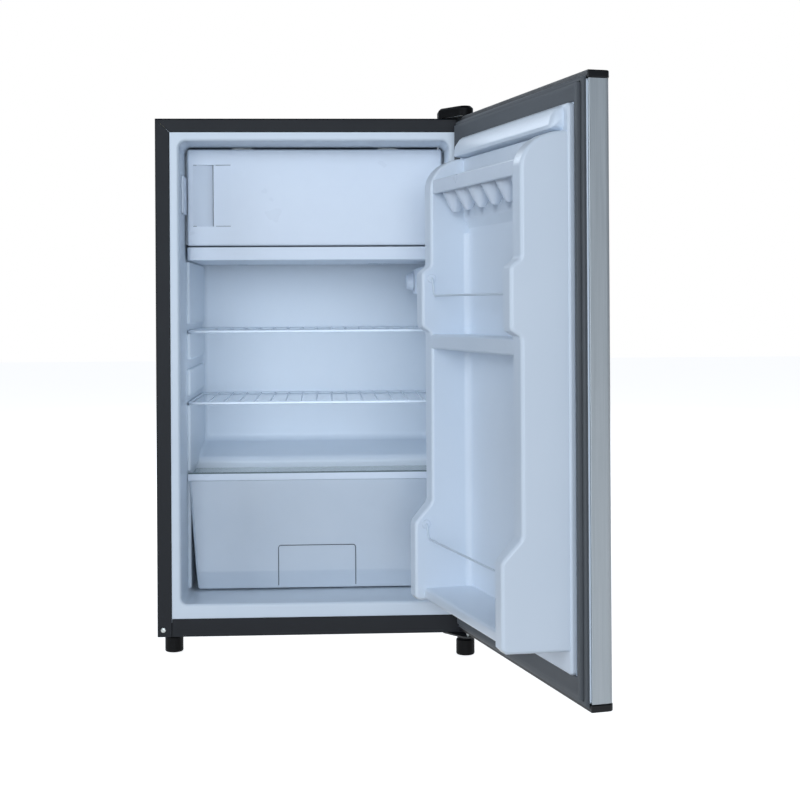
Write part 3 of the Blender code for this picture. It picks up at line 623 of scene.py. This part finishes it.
# --- camera, light and floor ----------------------------------------------------------------------------
def make_camera():
    """A long lens 2.23 m in front, turned and tipped by a few hundredths of a radian."""
    yaw, pitch, roll = 0.0497, 0.0019, -0.0059
    ahead = Vector((math.sin(yaw) * math.cos(pitch), math.cos(yaw) * math.cos(pitch), math.sin(pitch)))
    right = Vector((math.cos(yaw), -math.sin(yaw), 0))
    up = right.cross(ahead)
    right, up = (
        math.cos(roll) * right + math.sin(roll) * up,
        math.cos(roll) * up - math.sin(roll) * right,
    )
    data = bpy.data.cameras.new("camera")
    camera = bpy.data.objects.new("camera", data)
    bpy.context.scene.collection.objects.link(camera)
    turn = Matrix((right, up, -ahead)).transposed().to_4x4()
    camera.matrix_world = Matrix.Translation(CABINET @ Vector((0.0173, -2.2334, 0.5307))) @ turn
    data.sensor_width = 36
    data.lens = 66.32
    data.shift_y = -0.123
    data.clip_end = 50
    bpy.context.scene.camera = camera


COOL = (0.80, 0.89, 1.0)
LIGHTS_AIM = Vector((0, 0, 0.42))


def add_light(name, power, matrix, *sizes):
    """A cool area light: square with one size, a rectangle with two."""
    data = bpy.data.lights.new(name, "AREA")
    data.size = sizes[0]
    if len(sizes) > 1:
        data.shape = "RECTANGLE"
        data.size_y = sizes[1]
    data.energy = power
    data.color = COOL
    light = bpy.data.objects.new(name, data)
    bpy.context.scene.collection.objects.link(light)
    light.matrix_world = matrix
    return light


def make_lights():
    """Soft light from the front and the left, with a pair behind. The backdrop itself is plain white."""
    world = bpy.data.worlds.new("studio")
    world.use_nodes = True
    tree = world.node_tree
    tree.nodes["Background"].inputs["Color"].default_value = (*COOL, 1)
    tree.nodes["Background"].inputs["Strength"].default_value = 0.20
    ambient = tree.nodes["Background"].outputs[0]
    straight = add_node(tree, "ShaderNodeLightPath").outputs["Is Camera Ray"]
    backdrop = add_node(tree, "ShaderNodeBackground", sockets={"Color": (1, 1, 1, 1)}).outputs[0]
    both = add_node(tree, "ShaderNodeMixShader", sockets={0: straight, 1: ambient, 2: backdrop})
    tree.links.new(both.outputs[0], tree.nodes["World Output"].inputs["Surface"])
    bpy.context.scene.world = world
    for name, spot, size, power in (
        ("key_light", (-1.2, -6.2, 1.7), 2.4, 100),
        ("fill_light", (0.8, -6.2, 0.85), 2.4, 80),
        ("side_light", (-5.0, -3.0, 1.8), 2.4, 84),
        ("back_light_left", (-2.6, 3.2, 2.4), 1.8, 45),
        ("back_light_right", (2.6, 3.2, 2.4), 1.8, 45),
    ):
        turn = (LIGHTS_AIM - Vector(spot)).to_track_quat("-Z", "Y").to_matrix().to_4x4()
        add_light(name, power, Matrix.Translation(spot) @ turn, size)
    # Stands for the light that the white walls and the open door send back into the deep compartment.
    inward = Matrix.Translation((0, 0.06, 0.42)) @ Matrix.Rotation(math.radians(90), 4, "X")
    light = add_light("cavity_light", 0.13, CABINET @ inward, 0.32, 0.18)
    light.visible_camera = False
    light.visible_glossy = False


def make_floor():
    tool = bmesh.new()
    bmesh.ops.create_grid(tool, x_segments=1, y_segments=1, size=12)
    paper = bpy.data.materials.new("white_paper_floor")
    paper.use_nodes = True
    shader = paper.node_tree.nodes["Principled BSDF"]
    shader.inputs["Base Color"].default_value = linear("#fbfbfb")
    shader.inputs["Roughness"].default_value = 0.9
    shader.inputs["Emission Color"].default_value = linear("#ffffff")
    shader.inputs["Emission Strength"].default_value = 0.80
    floor = from_bmesh("floor", tool, paper)
    floor.location.z = -0.0002
    floor.visible_diffuse = False


# --- cabinet --------------------------------------------------------------------------------------------
def make_wrap():
    """The steel wrap: sides and top in one bent sheet, with front flanges mitred at each corner."""
    bend, turn_in, gap = 0.003, 0.0015, 0.0002
    profile = [(0.0, DEPTH), (0.0, DEPTH * 0.5), (0.0, bend)]
    for n in range(1, 6):
        turn = math.radians(90 * n / 5)
        profile.append((bend - bend * math.cos(turn), bend - bend * math.sin(turn)))
    profile.append((FLANGE * 0.5, 0.0))
    for n in range(5):
        turn = math.radians(90 * n / 4)
        profile.append((FLANGE - turn_in + turn_in * math.sin(turn), turn_in - turn_in * math.cos(turn)))
    profile.append((FLANGE, 0.006))
    stations = []
    left = ((-1, False, 0), (-1, True, -1), (-1, True, 1))
    right = ((1, True, 1), (1, True, -1), (1, False, 0))
    for side, at_top, slit in (*left, *right):
        row = []
        for inward, y in profile:
            drop = inward * (TOP_FLANGE / FLANGE)
            open_by = gap if inward > bend * 0.9 else 0.0
            x = side * (HALF - inward) - (side * open_by if slit == 1 else 0)
            z = TOP_Z - drop - (open_by if slit == -1 else 0) if at_top else BASE_Z
            row.append(Vector((x, y, z)))
        stations.append(row)
    tool = bmesh.new()
    rows = [[tool.verts.new(p) for p in row] for row in stations]
    for low, high in zip(rows[::2], rows[1::2]):
        for n in range(len(profile) - 1):
            tool.faces.new((low[n], high[n], high[n + 1], low[n + 1]))
    bmesh.ops.remove_doubles(tool, verts=tool.verts, dist=0.00001)
    for face in tool.faces:
        face.normal_update()
    sample = max(tool.faces, key=lambda f: f.calc_area())
    if sample.normal.dot(sample.calc_center_median() - Vector((0, DEPTH / 2, 0.42))) < 0:
        bmesh.ops.reverse_faces(tool, faces=tool.faces)
    obj = from_bmesh("steel_wrap", tool, charcoal)
    thick = obj.modifiers.new("sheet", "SOLIDIFY")
    thick.thickness = SHEET
    thick.offset = -1
    place(obj, CABINET, "cabinet", ("cabinet_shell",), 30)


def cavity_ring(y, half, low, high, radius, steps=8):
    return [Vector((u, y, v)) for u, v in round_rect((-half, low), (half, high), radius, steps)]


def make_inner_liner():
    """The vacuum-formed liner: front flange, rolled lip, drafted walls and the step over the compressor."""
    front = 0.0013
    side, low, high = HALF - FLANGE + 0.006, RAIL_TOP - 0.006, TOP_Z - TOP_FLANGE + 0.006
    rings = [cavity_ring(front, side, low, high, 0.0010)]
    lip = 0.0045
    for n in range(6):
        turn = math.radians(90 * n / 5)
        out = lip - lip * math.sin(turn)
        y = front + lip - lip * math.cos(turn)
        rings.append(cavity_ring(y, OPEN_HALF + out, FLOOR_Z - out, CEILING_Z + out, 0.010 + out))
    draft, corner = 0.0012, 0.0110

    def walls(y, floor, shrink=0.0):
        slim = draft * (y / INNER_DEPTH) + shrink
        return cavity_ring(y, OPEN_HALF - slim, floor, CEILING_Z - slim, corner)

    rings.append(walls(0.110, FLOOR_Z))
    bowl = 0.012
    for n in range(7):
        turn = math.radians(90 * n / 6)
        y = HUMP_FRONT - bowl + bowl * math.sin(turn)
        rings.append(walls(y, FLOOR_Z + bowl - bowl * math.cos(turn)))
    crown = 0.012
    for n in range(7):
        turn = math.radians(90 * n / 6)
        y = HUMP_FRONT + 0.0004 + crown - crown * math.cos(turn)
        rings.append(walls(y, HUMP_TOP - crown + crown * math.sin(turn)))
    back = 0.012
    for n in range(6):
        turn = math.radians(90 * n / 5)
        out = back - back * math.cos(turn)
        rings.append(walls(INNER_DEPTH - back + back * math.sin(turn), HUMP_BACK + out, out))
    tool = skin(rings, cap_first=False)
    for face in tool.faces:
        face.normal_update()
    deepest = max(tool.faces, key=lambda f: f.calc_center_median().y)
    if deepest.normal.y > 0:
        bmesh.ops.reverse_faces(tool, faces=tool.faces)
    obj = from_bmesh("liner_shell", tool, polystyrene)
    thick = obj.modifiers.new("sheet", "SOLIDIFY")
    thick.thickness = 0.0015
    thick.offset = -1
    parts = [obj]
    starts = sorted((COVER_Z, *SHELF_ZS, SPARE_Z))
    grooves = [(z - 0.0003, z - 0.0003 + GROOVE) for z in starts] + [(TRAY_Z - 0.0015, TRAY_Z + 0.0245)]
    edges = [FLOOR_Z + 0.004] + [z for groove in grooves for z in groove] + [CEILING_Z - 0.004]
    for bottom, top in zip(edges[::2], edges[1::2]):
        for sign in (-1, 1):
            xs = sorted((sign * (OPEN_HALF - PAD), sign * (OPEN_HALF + 0.0005)))
            pad = box((xs[0], PAD_FRONT, bottom), (xs[1], INNER_DEPTH - 0.003, top))
            parts.append(bevel(from_bmesh("pad", pad, polystyrene), 0.0026, 4))
    liner = join_meshes("inner_liner_formed", parts)
    place(liner, CABINET, "cabinet", ("inner_liner",))


def screw_head():
    """A pan-head screw, its axis along Z, with a cross recess."""
    radius = 0.0041
    profile = ((radius, -0.0003), (radius, 0.0004), (radius * 0.86, 0.0013), (radius * 0.45, 0.0019))
    head = from_bmesh("screw_source", lathe((0, 0, 0), profile, count=14), zinc)
    for wide, deep in ((0.0019, 0.00045), (0.00045, 0.0019)):
        slot = from_bmesh("recess", box((-wide, -deep, 0.0008), (wide, deep, 0.0030)), zinc)
        head = combine(head, slot, "DIFFERENCE")
    return head


def make_screws():
    head = screw_head()
    forward, backward = math.pi / 2, -math.pi / 2
    rows = [
        copies_of("screw_row", head, zinc, start, step, count, (turn, 0, 0))
        for start, step, count, turn in (
            ((-0.231, 0.0, 0.0425), (0, 0, 0), 1, forward),
            ((-0.229, DEPTH, 0.300), (0, 0, 0.124), 5, backward),
            ((0.229, DEPTH, 0.300), (0, 0, 0.124), 5, backward),
            ((-0.160, DEPTH, 0.802), (0.080, 0, 0), 5, backward),
            ((-0.216, DEPTH + 0.0013, 0.320), (0, 0, 0.200), 3, backward),
            ((0.216, DEPTH + 0.0013, 0.320), (0, 0, 0.200), 3, backward),
        )
    ]
    bpy.data.objects.remove(head)
    screws = join_meshes("cabinet_screws", rows)
    place(screws, CABINET, "cabinet")


# --- inside ---------------------------------------------------------------------------------------------
def make_freezer_flap():
    """A hollow moulded flap with a scooped grip, whose floor slopes in to a wall that fingers pull on."""
    low, high, front, back, half = 0.6240, 0.775, 0.085, 0.100, 0.1995
    wall, deep = 0.0018, 0.0075
    body = from_bmesh("flap", box((-half, front, low), (half, back, high)), moulded)
    body = bake_modifiers(bevel(body, 0.0030, 8))
    inside = box((-half + wall, front + 0.0022, low + wall), (half - wall, back + 0.01, high - wall))
    body = combine(body, from_bmesh("hollow", inside, moulded), "DIFFERENCE")

    grip_left, grip_right, grip_low, grip_high = -0.1905, -0.1320, 0.6545, 0.7507

    def scoop(name, thicker, start):
        outline = [
            (grip_left, start),
            (grip_left, front + 0.0001 + thicker),
            (-0.1600 - thicker / 2, front + deep + thicker),
            (-0.1590 + thicker, front + deep + thicker),
            (-0.1588 + thicker, front + 0.0016 + thicker),
            (grip_right, front + 0.0001 + thicker),
            (grip_right, start),
        ]
        return from_bmesh(name, prism(outline, grip_low - thicker, grip_high + thicker), moulded)

    body = combine(body, scoop("scoop_wall", wall, front + 0.0008), "UNION")
    body = combine(body, scoop("scoop", 0, front - 0.004), "DIFFERENCE")
    for x_low, x_high, z_low, z_high, sunk in (
        (grip_left, grip_right, 0.7500, 0.7508, 0.0014),
        (grip_left, grip_right, 0.6544, 0.6552, 0.0014),
        (-0.1604, -0.1588, grip_low, grip_high, 0.0090),
    ):
        groove = box((x_low, front - 0.004, z_low), (x_high, front + sunk, z_high))
        # Painted shade: each groove's walls take the dark grey finish, standing in for the shade inside the
        # groove.
        for side in groove.faces:
            side.material_index = 1
        body.data.materials.append(slot_shade_grey)
        body = combine(body, from_bmesh("groove", groove, moulded, slot_shade_grey), "DIFFERENCE")
    place(body, CABINET, "freezer_door", ("freezer_door",), 13)


def make_drip_tray():
    wall, half, front, back = 0.0015, 0.2005, 0.087, 0.366
    low, high = TRAY_Z, TRAY_Z + 0.0205
    outer = round_rect((-half, front), (half, back), 0.006)
    under = round_rect((-half + 0.0006, front + 0.0006), (half - 0.0006, back - 0.0006), 0.006)
    inner = round_rect((-half + wall, front + wall), (half - wall, back - wall), 0.005)
    inset = wall + 0.003
    floor = round_rect((-half + inset, front + inset), (half - inset, back - inset), 0.004)
    rings = [[(x, y, low) for x, y in under], [(x, y, low + 0.0006) for x, y in outer]]
    rings += [[(x, y, high - 0.0004) for x, y in outer], [(x, y, high) for x, y in under]]
    rings += [[(x, y, high) for x, y in inner], [(x, y, low + 0.0045) for x, y in inner]]
    rings += [[(x, y, low + wall) for x, y in floor]]
    tray = from_bmesh("tray", solid(rings), moulded)
    place(tray, CABINET, "drip_tray", ("drip_tray",))


def make_shelf(name, height):
    half, front, back, rim, reach, count = 0.2025, 0.100, 0.372, 0.0023, 0.172, 15
    middle = height + 0.0025
    loop = [
        Vector((x, y, middle))
        for x, y in round_rect((-half + rim, front + rim), (half - rim, back - rim), 0.012)
    ]
    edge = rod("rim", loop, rim, dipped_wire, closed=True, resolution=4)
    wires = rows_of_rods(
        "wires",
        dipped_wire,
        (-reach, front + rim, middle + 0.0008),
        (-reach, back - rim, middle + 0.0008),
        (2 * reach / (count - 1), 0, 0),
        count,
        0.0013,
    )
    shelf = join_meshes(f"{name}_wires", [edge, wires])
    place(shelf, CABINET, name, (name,), 60)


def make_cover_trim():
    """The glass cover's front trim, with the pane's ground edge showing as a dark line along its top."""
    bar = box((-0.2025, 0.0980, COVER_Z - 0.0003), (0.2025, 0.1070, COVER_Z + 0.0107))
    bar = bake_modifiers(bevel(from_bmesh("bar", bar, moulded), 0.0010, 3))
    edge = box((-0.2020, 0.0986, COVER_Z + 0.0100), (0.2020, 0.1066, COVER_Z + 0.0120))
    edge = from_bmesh("edge", edge, ground_glass)
    trim = join_meshes("cover_trim", [bar, edge])
    place(trim, CABINET, "crisper_cover", ("crisper_cover_trim",), 35)


def make_crisper():
    """A tub behind a wider front that turns under at the fold. A slot outlines the front's pull tab."""
    low, fold, high, wall = FLOOR_Z + 0.0025, 0.1108, 0.2546, 0.0022

    def level(z, half, near, far, radius):
        return [(x, y, z) for x, y in round_rect((-half, near), (half, far), radius, 8)]

    tub = (  # height, half width, front, back
        (low, 0.1800, 0.1100, 0.2360),
        (low + 0.0020, 0.1820, 0.1080, 0.2380),
        (fold, 0.1850, 0.1000, 0.2400),
        (high - 0.0006, 0.1962, 0.0980, 0.2440),
        (high, 0.1956, 0.0986, 0.2434),
    )
    rings = [level(z, half, near, far, 0.012) for z, half, near, far in tub]
    inside = (  # height, and the outside's half width, front and back there
        tub[3],
        tub[2],
        (low + 0.0050, 0.1825, 0.1075, 0.2385),
        (low + wall, 0.1800, 0.1100, 0.2360),
    )
    for z, half, near, far in inside:
        z = high if z > high - 0.001 else z
        rings.append(level(z, half - wall, near + wall, far - wall, 0.010))
    drawer = from_bmesh("drawer", solid(rings), milky)
    front = (  # height, half width, front
        (low + 0.0010, 0.1862, 0.1052),
        (low + 0.0030, 0.1880, 0.1040),
        (fold - 0.0030, 0.1898, 0.0997),
        (fold + 0.0030, 0.1903, 0.0989),
        (high, 0.2005, 0.0975),
    )
    rings = [level(z, half, near, near + 0.0092, 0.0045) for z, half, near in front]
    drawer = combine(drawer, from_bmesh("front", solid(rings), milky), "UNION")
    half, bottom, top, line, deep, radius = 0.0615, 0.0880, 0.1525, 0.0013, 0.0040, 0.005

    def tab(inset):
        outline = round_rect((-half + inset, bottom - 0.03), (half - inset, top - inset), radius - inset)
        arch = [(x, z) for x, z in outline if z > bottom]
        right, left = half - inset, inset - half
        return [(right, bottom), (right, fold), *arch, (left, fold), (left, bottom)]

    def face(z):
        return 0.0989 + (fold - z) * 0.22 if z < fold else 0.0989 - (z - fold) * 0.0098

    cutter = bmesh.new()
    rows = []
    for shape, sunk in ((tab(0), False), (tab(line), False), (tab(line), True), (tab(0), True)):
        rows.append([cutter.verts.new((x, face(z) + deep if sunk else 0.09, z)) for x, z in shape])
    for a, b in zip(rows, rows[1:] + rows[:1]):
        for n in range(len(a) - 1):
            cutter.faces.new((a[n], a[n + 1], b[n + 1], b[n]))
    cutter.faces.new([row[0] for row in rows])
    cutter.faces.new([row[-1] for row in reversed(rows)])
    bmesh.ops.recalc_face_normals(cutter, faces=cutter.faces)
    # Painted shade: the slot's walls take the dark grey finish, standing in for the shade inside the slot.
    for side in cutter.faces:
        side.material_index = 1
    drawer.data.materials.append(slot_shade_grey)
    drawer = combine(drawer, from_bmesh("slot", cutter, milky, slot_shade_grey), "DIFFERENCE")
    place(drawer, CABINET, "crisper", ("crisper_drawer",), 32)


# --- door -----------------------------------------------------------------------------------------------
def column_outline():
    """A door column from the side, as (y, z): two bulges that hold the guard rails, and a round shoulder."""
    deep, middle, upper, low = 0.084, 0.058, 0.0715, 0.1030
    outline = [
        (PLATEAU - 0.004, low),
        (deep - 0.006, low),
        (deep, low + 0.006),
        (deep, 0.213),
        (deep - 0.003, 0.219),
        (middle + 0.003, 0.241),
        (middle, 0.247),
        (middle, 0.486),
        (middle + 0.002, 0.491),
        (upper - 0.002, 0.497),
        (upper, 0.502),
        (upper, 0.573),
        (upper - 0.002, 0.578),
        (middle + 0.002, 0.585),
        (middle, 0.590),
    ]
    start, rise = 0.698, 0.0455
    for n in range(11):
        turn = math.radians(90 * n / 10)
        outline.append((middle * math.cos(turn), start + rise * math.sin(turn)))
    return [*outline, (PLATEAU - 0.004, start + rise)]


def make_column(side):
    outline = column_outline()
    inner = [(side * COLUMN_IN, y, z) for y, z in outline]
    outer = [(side * (COLUMN_OUT - COLUMN_TAPER * max(y, 0)), y, z) for y, z in outline]
    return rounded(from_bmesh("column", solid([inner, outer]), door_polystyrene), 0.0055, 5)


def make_door_liner():
    outline = round_rect((-0.2365, 0.0482), (0.2365, 0.8022), 0.004)
    slab = from_bmesh("slab", prism(outline, LINER_BACK, LINER_BACK + 0.002, "y"), door_polystyrene)
    outline = round_rect((-0.2020, 0.0742), (0.2020, 0.7775), 0.006)
    raised = from_bmesh("raised", prism(outline, LINER_BACK + 0.0005, PLATEAU, "y"), door_polystyrene)
    raised = rounded(raised, 0.0035, 4)
    liner = combine(slab, raised, "UNION")
    ledge_half = 0.171
    for low, high, out in ((0.466, 0.487, 0.0577), (0.1045, 0.1200, 0.0700)):
        ledge = box((-ledge_half, PLATEAU - 0.004, low), (ledge_half, out, high))
        ledge = from_bmesh("ledge", ledge, door_polystyrene)
        liner = combine(liner, rounded(ledge, 0.004, 4), "UNION")
    brow_root, brow_middle = -0.0020, 0.7610
    brow = (
        (brow_root, 0.7770),
        (0.0070, 0.7725),
        (0.0140, 0.7620),
        (0.0162, 0.7510),
        (0.0150, 0.7465),
        (brow_root, 0.7445),
    )
    rings = []
    for x, size in ((-0.1890, 0.25), (-0.1880, 0.55), (-0.1860, 0.78), (-0.1820, 0.94), (-0.1770, 1.0)):
        rings.append(
            [(x, brow_root + (y - brow_root) * size, brow_middle + (z - brow_middle) * size) for y, z in brow]
        )
    rings += [[(-x, y, z) for x, y, z in ring] for ring in reversed(rings)]
    top = rounded(from_bmesh("brow", solid(rings), door_polystyrene), 0.0025, 4, 25)
    liner = combine(liner, top, "UNION")
    pad = ((-0.004, 0.6355), (0.0065, 0.6550), (0.0065, 0.7430), (-0.004, 0.7430))
    ends = [[(x, y, z) for y, z in pad] for x in (-0.170, 0.170)]
    raised_pad = rounded(from_bmesh("pad", solid(ends), door_polystyrene), 0.0025, 4, 20)
    liner = combine(liner, raised_pad, "UNION")
    for side in (-1, 1):
        liner = combine(liner, make_column(side), "UNION")
    cove = 0.010
    for side in (-1, 1):
        outline = [(side * x, PLATEAU - 0.001) for x in (COLUMN_IN + 0.001, COLUMN_IN - cove)]
        for n in range(9):
            turn = math.radians(90 * n / 8)
            x = side * (COLUMN_IN - cove + cove * math.sin(turn))
            outline.append((x, PLATEAU + 0.0001 + cove - cove * math.cos(turn)))
        outline.append((side * (COLUMN_IN + 0.001), PLATEAU + cove))
        for low, high in ((0.119, 0.467), (0.486, 0.6340)):
            fillet = from_bmesh("cove", prism(outline, low, high), door_polystyrene)
            liner = combine(liner, fillet, "UNION")
    liner.name = "door_liner_formed"
    place(liner, DOOR, "door", ("door_liner",), 32)


def make_gasket():
    """The magnetic seal: a flat wing against the liner, a fold, and the bulb that meets the cabinet."""
    base = LINER_BACK + 0.0023
    profile = [
        (0.0000, base),
        (0.0004, base + 0.0016),
        (0.0100, base + 0.0050),
        (0.0150, -0.0020),
        (0.0185, -0.0008),
        (0.0200, -0.0012),
        (0.0206, -0.0030),
        (0.0206, base + 0.0010),
        (0.0216, base + 0.0010),
        (0.0220, -0.0062),
        (0.0232, -0.0056),
        (0.0258, -0.0060),
        (0.0264, -0.0070),
        (0.0264, base + 0.0008),
        (0.0285, base),
    ]
    inner, low, high = 0.2030, 0.0732, 0.7785
    stretch_x, stretch_top, stretch_bottom = 1.158, 0.982, 1.088
    tool = bmesh.new()
    rows = []
    for side, at_top in ((-1, False), (1, False), (1, True), (-1, True)):
        row = []
        for out, y in profile:
            z = high + out * stretch_top if at_top else low - out * stretch_bottom
            row.append(tool.verts.new((side * (inner + out * stretch_x), y, z)))
        rows.append(row)
    for a, b in zip(rows, rows[1:] + rows[:1]):
        for n in range(len(profile)):
            m = (n + 1) % len(profile)
            tool.faces.new((a[n], a[m], b[m], b[n]))
    bmesh.ops.recalc_face_normals(tool, faces=tool.faces)
    gasket = from_bmesh("seal", tool, seal_vinyl)
    place(gasket, DOOR, "door", ("door_gasket",), 50)


def door_section(half, front, back, radius, steps=10):
    """The door from above: round front corners and square back ones."""
    points = [(half, back), (-half, back)]
    for sign, start in ((-1, 180), (1, 270)):
        for n in range(steps + 1):
            turn = math.radians(start + 90 * n / steps)
            centre = (sign * (half - radius), front + radius)
            points.append((centre[0] + radius * math.cos(turn), centre[1] + radius * math.sin(turn)))
    return points


def make_door_panel():
    """The silver outer skin, folded back round the door's edges and hemmed."""
    low, high, front, back, hem = 0.0482, 0.8022, -0.040, -0.0125, 0.0007
    outer = door_section(HALF, front, back, 0.0065)
    inner = door_section(HALF - SHEET, front + SHEET, back - SHEET, 0.0055)
    lip = HALF - 0.010
    shape = [(lip, back), *outer[:1]] + outer[:1:-1] + [outer[1], (-lip, back)]
    shape += [(-lip, back - SHEET), *inner[1:], inner[0], (lip, back - SHEET)]
    parts = [from_bmesh("sheet", prism(shape, low, high), brushed)]
    for side in (-1, 1):
        centre = side * (HALF - hem * 0.6)
        parts.append(rod("hem", [(centre, back, low), (centre, back, high)], hem, brushed))
    panel = join_meshes("door_skin", parts)
    place(panel, DOOR, "door", ("door_panel",), 30)


def make_caps():
    """The door's end caps, each with a hole for its hinge bush."""
    hole_radius = 0.0073
    for word, low, high in (("top", 0.8027, 0.8122), ("bottom", 0.0382, 0.0477)):
        outline = door_section(HALF + 0.0006, -0.0408, LINER_BACK + 0.0018, 0.0072)
        cap = from_bmesh("cap", prism(outline, low, high), grained_abs)
        cap = rounded(cap, 0.0014, 3)
        hole = lathe((PIVOT.x, PIVOT.y, 0), ((hole_radius, low - 0.01), (hole_radius, high + 0.01)))
        cap = combine(cap, from_bmesh("hole", hole, grained_abs), "DIFFERENCE")
        cap.name = f"door_{word}_cap_moulded"
        place(cap, DOOR, "door", (f"door_{word}_cap",), 40)


def make_egg_rack():
    """A plate with six round mouths over six tapered cups, whose (radius, height) profile follows."""
    half, front, low, high = COLUMN_IN - 0.001, 0.055, 0.6900, 0.7105
    plate = from_bmesh("plate", box((-half, 0.0068, low), (half, front, high)), moulded)
    plate = rounded(plate, 0.0022, 3)
    under = box((-half + 0.002, 0.0088, low - 0.01), (half - 0.002, front - 0.002, high - 0.002))
    plate = combine(plate, from_bmesh("under", under, moulded), "DIFFERENCE")
    count, mouth_radius, wall = 6, 0.0192, 0.0015
    pitch = 2 * half / count
    start = (-half + pitch / 2, 0.0285, 0)
    mouth = lathe((0, 0, 0), ((mouth_radius, high - 0.01), (mouth_radius, high + 0.01)), count=40)
    mouth = from_bmesh("mouth", mouth, moulded)
    mouths = copies_of("mouths", mouth, moulded, start, (pitch, 0, 0), count)
    plate = combine(plate, mouths, "DIFFERENCE")
    outside = [
        (0.0206, high - 0.0006),
        (0.0204, 0.7030),
        (0.0190, 0.6900),
        (0.0125, 0.6765),
        (0.0062, 0.6650),
        (0.0034, 0.6628),
    ]
    inside = [
        (radius - wall * (1.0 if radius > 0.004 else 0.6), z + (wall if z < 0.666 else 0))
        for radius, z in reversed(outside)
    ]
    cup = from_bmesh("cup", lathe((0, 0, 0), [*outside, *inside], count=40), moulded)
    cups = copies_of("cups", cup, moulded, start, (pitch, 0, 0), count)
    for spare in (mouth, cup):
        bpy.data.objects.remove(spare)
    rack = join_meshes("egg_rack_moulded", [plate, cups])
    place(rack, DOOR, "door", ("egg_rack",), 35)


def make_guard_rails():
    """Wire rails across the bins, each with a round boss at its hinge-side end."""
    end = COLUMN_IN - 0.0006
    for word, high, low, out in (("upper", 0.568, 0.543, 0.0575), ("lower", 0.213, 0.192, 0.0680)):
        right = [(end, out, high), (end - 0.005, out, high), (end - 0.005, out - 0.003, low)]
        left = [(-x, y, z) for x, y, z in reversed(right)]
        rail = rod("rail", eased(right + left, 0.004), 0.0015, dipped_wire, resolution=4)
        boss = lathe((end, out, high), ((0.0052, -0.0030), (0.0062, -0.0020), (0.0062, 0.0)), "x", 32)
        boss = from_bmesh("boss", boss, moulded)
        rail = join_meshes(f"rail_{word}", [rail, boss])
        place(rail, DOOR, "door", (f"guard_rail_{word}",), 60)


make_camera()
make_lights()
make_floor()
make_wrap()
make_inner_liner()
make_screws()
make_freezer_flap()
make_drip_tray()
for shelf_name, shelf_z in zip(("shelf_upper", "shelf_lower"), SHELF_ZS):
    make_shelf(shelf_name, shelf_z)
make_cover_trim()
make_crisper()
make_door_liner()
make_gasket()
make_door_panel()
make_caps()
make_egg_rack()
make_guard_rails()

for node, look, body, width in (
    ("front_bottom_rail", charcoal, "cabinet", 0.0004),
    ("freezer_catch", moulded, "cabinet", 0.0),
    ("freezer_pin_bracket", moulded, "cabinet", 0.0006),
    ("freezer_door_pin", zinc, "cabinet", 0.0),
    ("thermostat_housing", moulded, "cabinet", 0.0030),
    ("thermostat_knob", moulded, "thermostat_knob", 0.0010),
    ("top_hinge_bracket", zinc, "cabinet", 0.0005),
    ("top_hinge_cover", black_abs, "cabinet", 0.0016),
    ("lower_hinge_bracket", black_enamel, "cabinet", 0.0005),
    ("front_foot_left", black_abs, "front_foot_left", 0.0008),
    ("front_foot_right", black_abs, "front_foot_right", 0.0008),
    ("rear_foot_left", black_abs, "cabinet", 0.0008),
    ("rear_foot_right", black_abs, "cabinet", 0.0008),
    ("crisper_cover_glass", glass, "crisper_cover", 0.0008),
    ("compressor_base", galvanised, "cabinet", 0.0),
    ("compressor_mount_plate", galvanised, "cabinet", 0.0005),
    ("compressor_shell", black_enamel, "cabinet", 0.0),
    ("relay_cover", black_abs, "cabinet", 0.0),
    ("evaporation_pan", black_abs, "cabinet", 0.0),
    ("evaporator_box", rolled_aluminium, "cabinet", 0.0),
    ("condenser_tube", black_enamel, "cabinet", 0.0),
    ("discharge_line", drawn_copper, "cabinet", 0.0),
    ("suction_line", drawn_copper, "cabinet", 0.0),
    ("capillary_tube", drawn_copper, "cabinet", 0.0),
    ("filter_drier", drawn_copper, "cabinet", 0.0),
):
    refined(node, look, body, width)

for node, look in (
    ("rear_panel", galvanised),
    ("base_plate", galvanised),
    ("compressor_bay_panel", galvanised),
    ("cabinet_foam", foam),
    ("door_foam", foam),
    ("condenser_wires_inner", black_enamel),
    ("condenser_wires_outer", black_enamel),
    ("condenser_bracket_left", black_enamel),
    ("condenser_bracket_right", black_enamel),
    ("drain_tube", black_abs),
    ("cord_gland", black_abs),
    *((f"grommet_{number}", rubber) for number in range(1, 5)),
    ("top_hinge_pin", zinc),
    ("lower_hinge_pin", zinc),
    ("door_bush_top", moulded),
    ("door_bush_bottom", moulded),
):
    dress(node, look)

bpy.context.scene.view_settings.view_transform = "Standard"
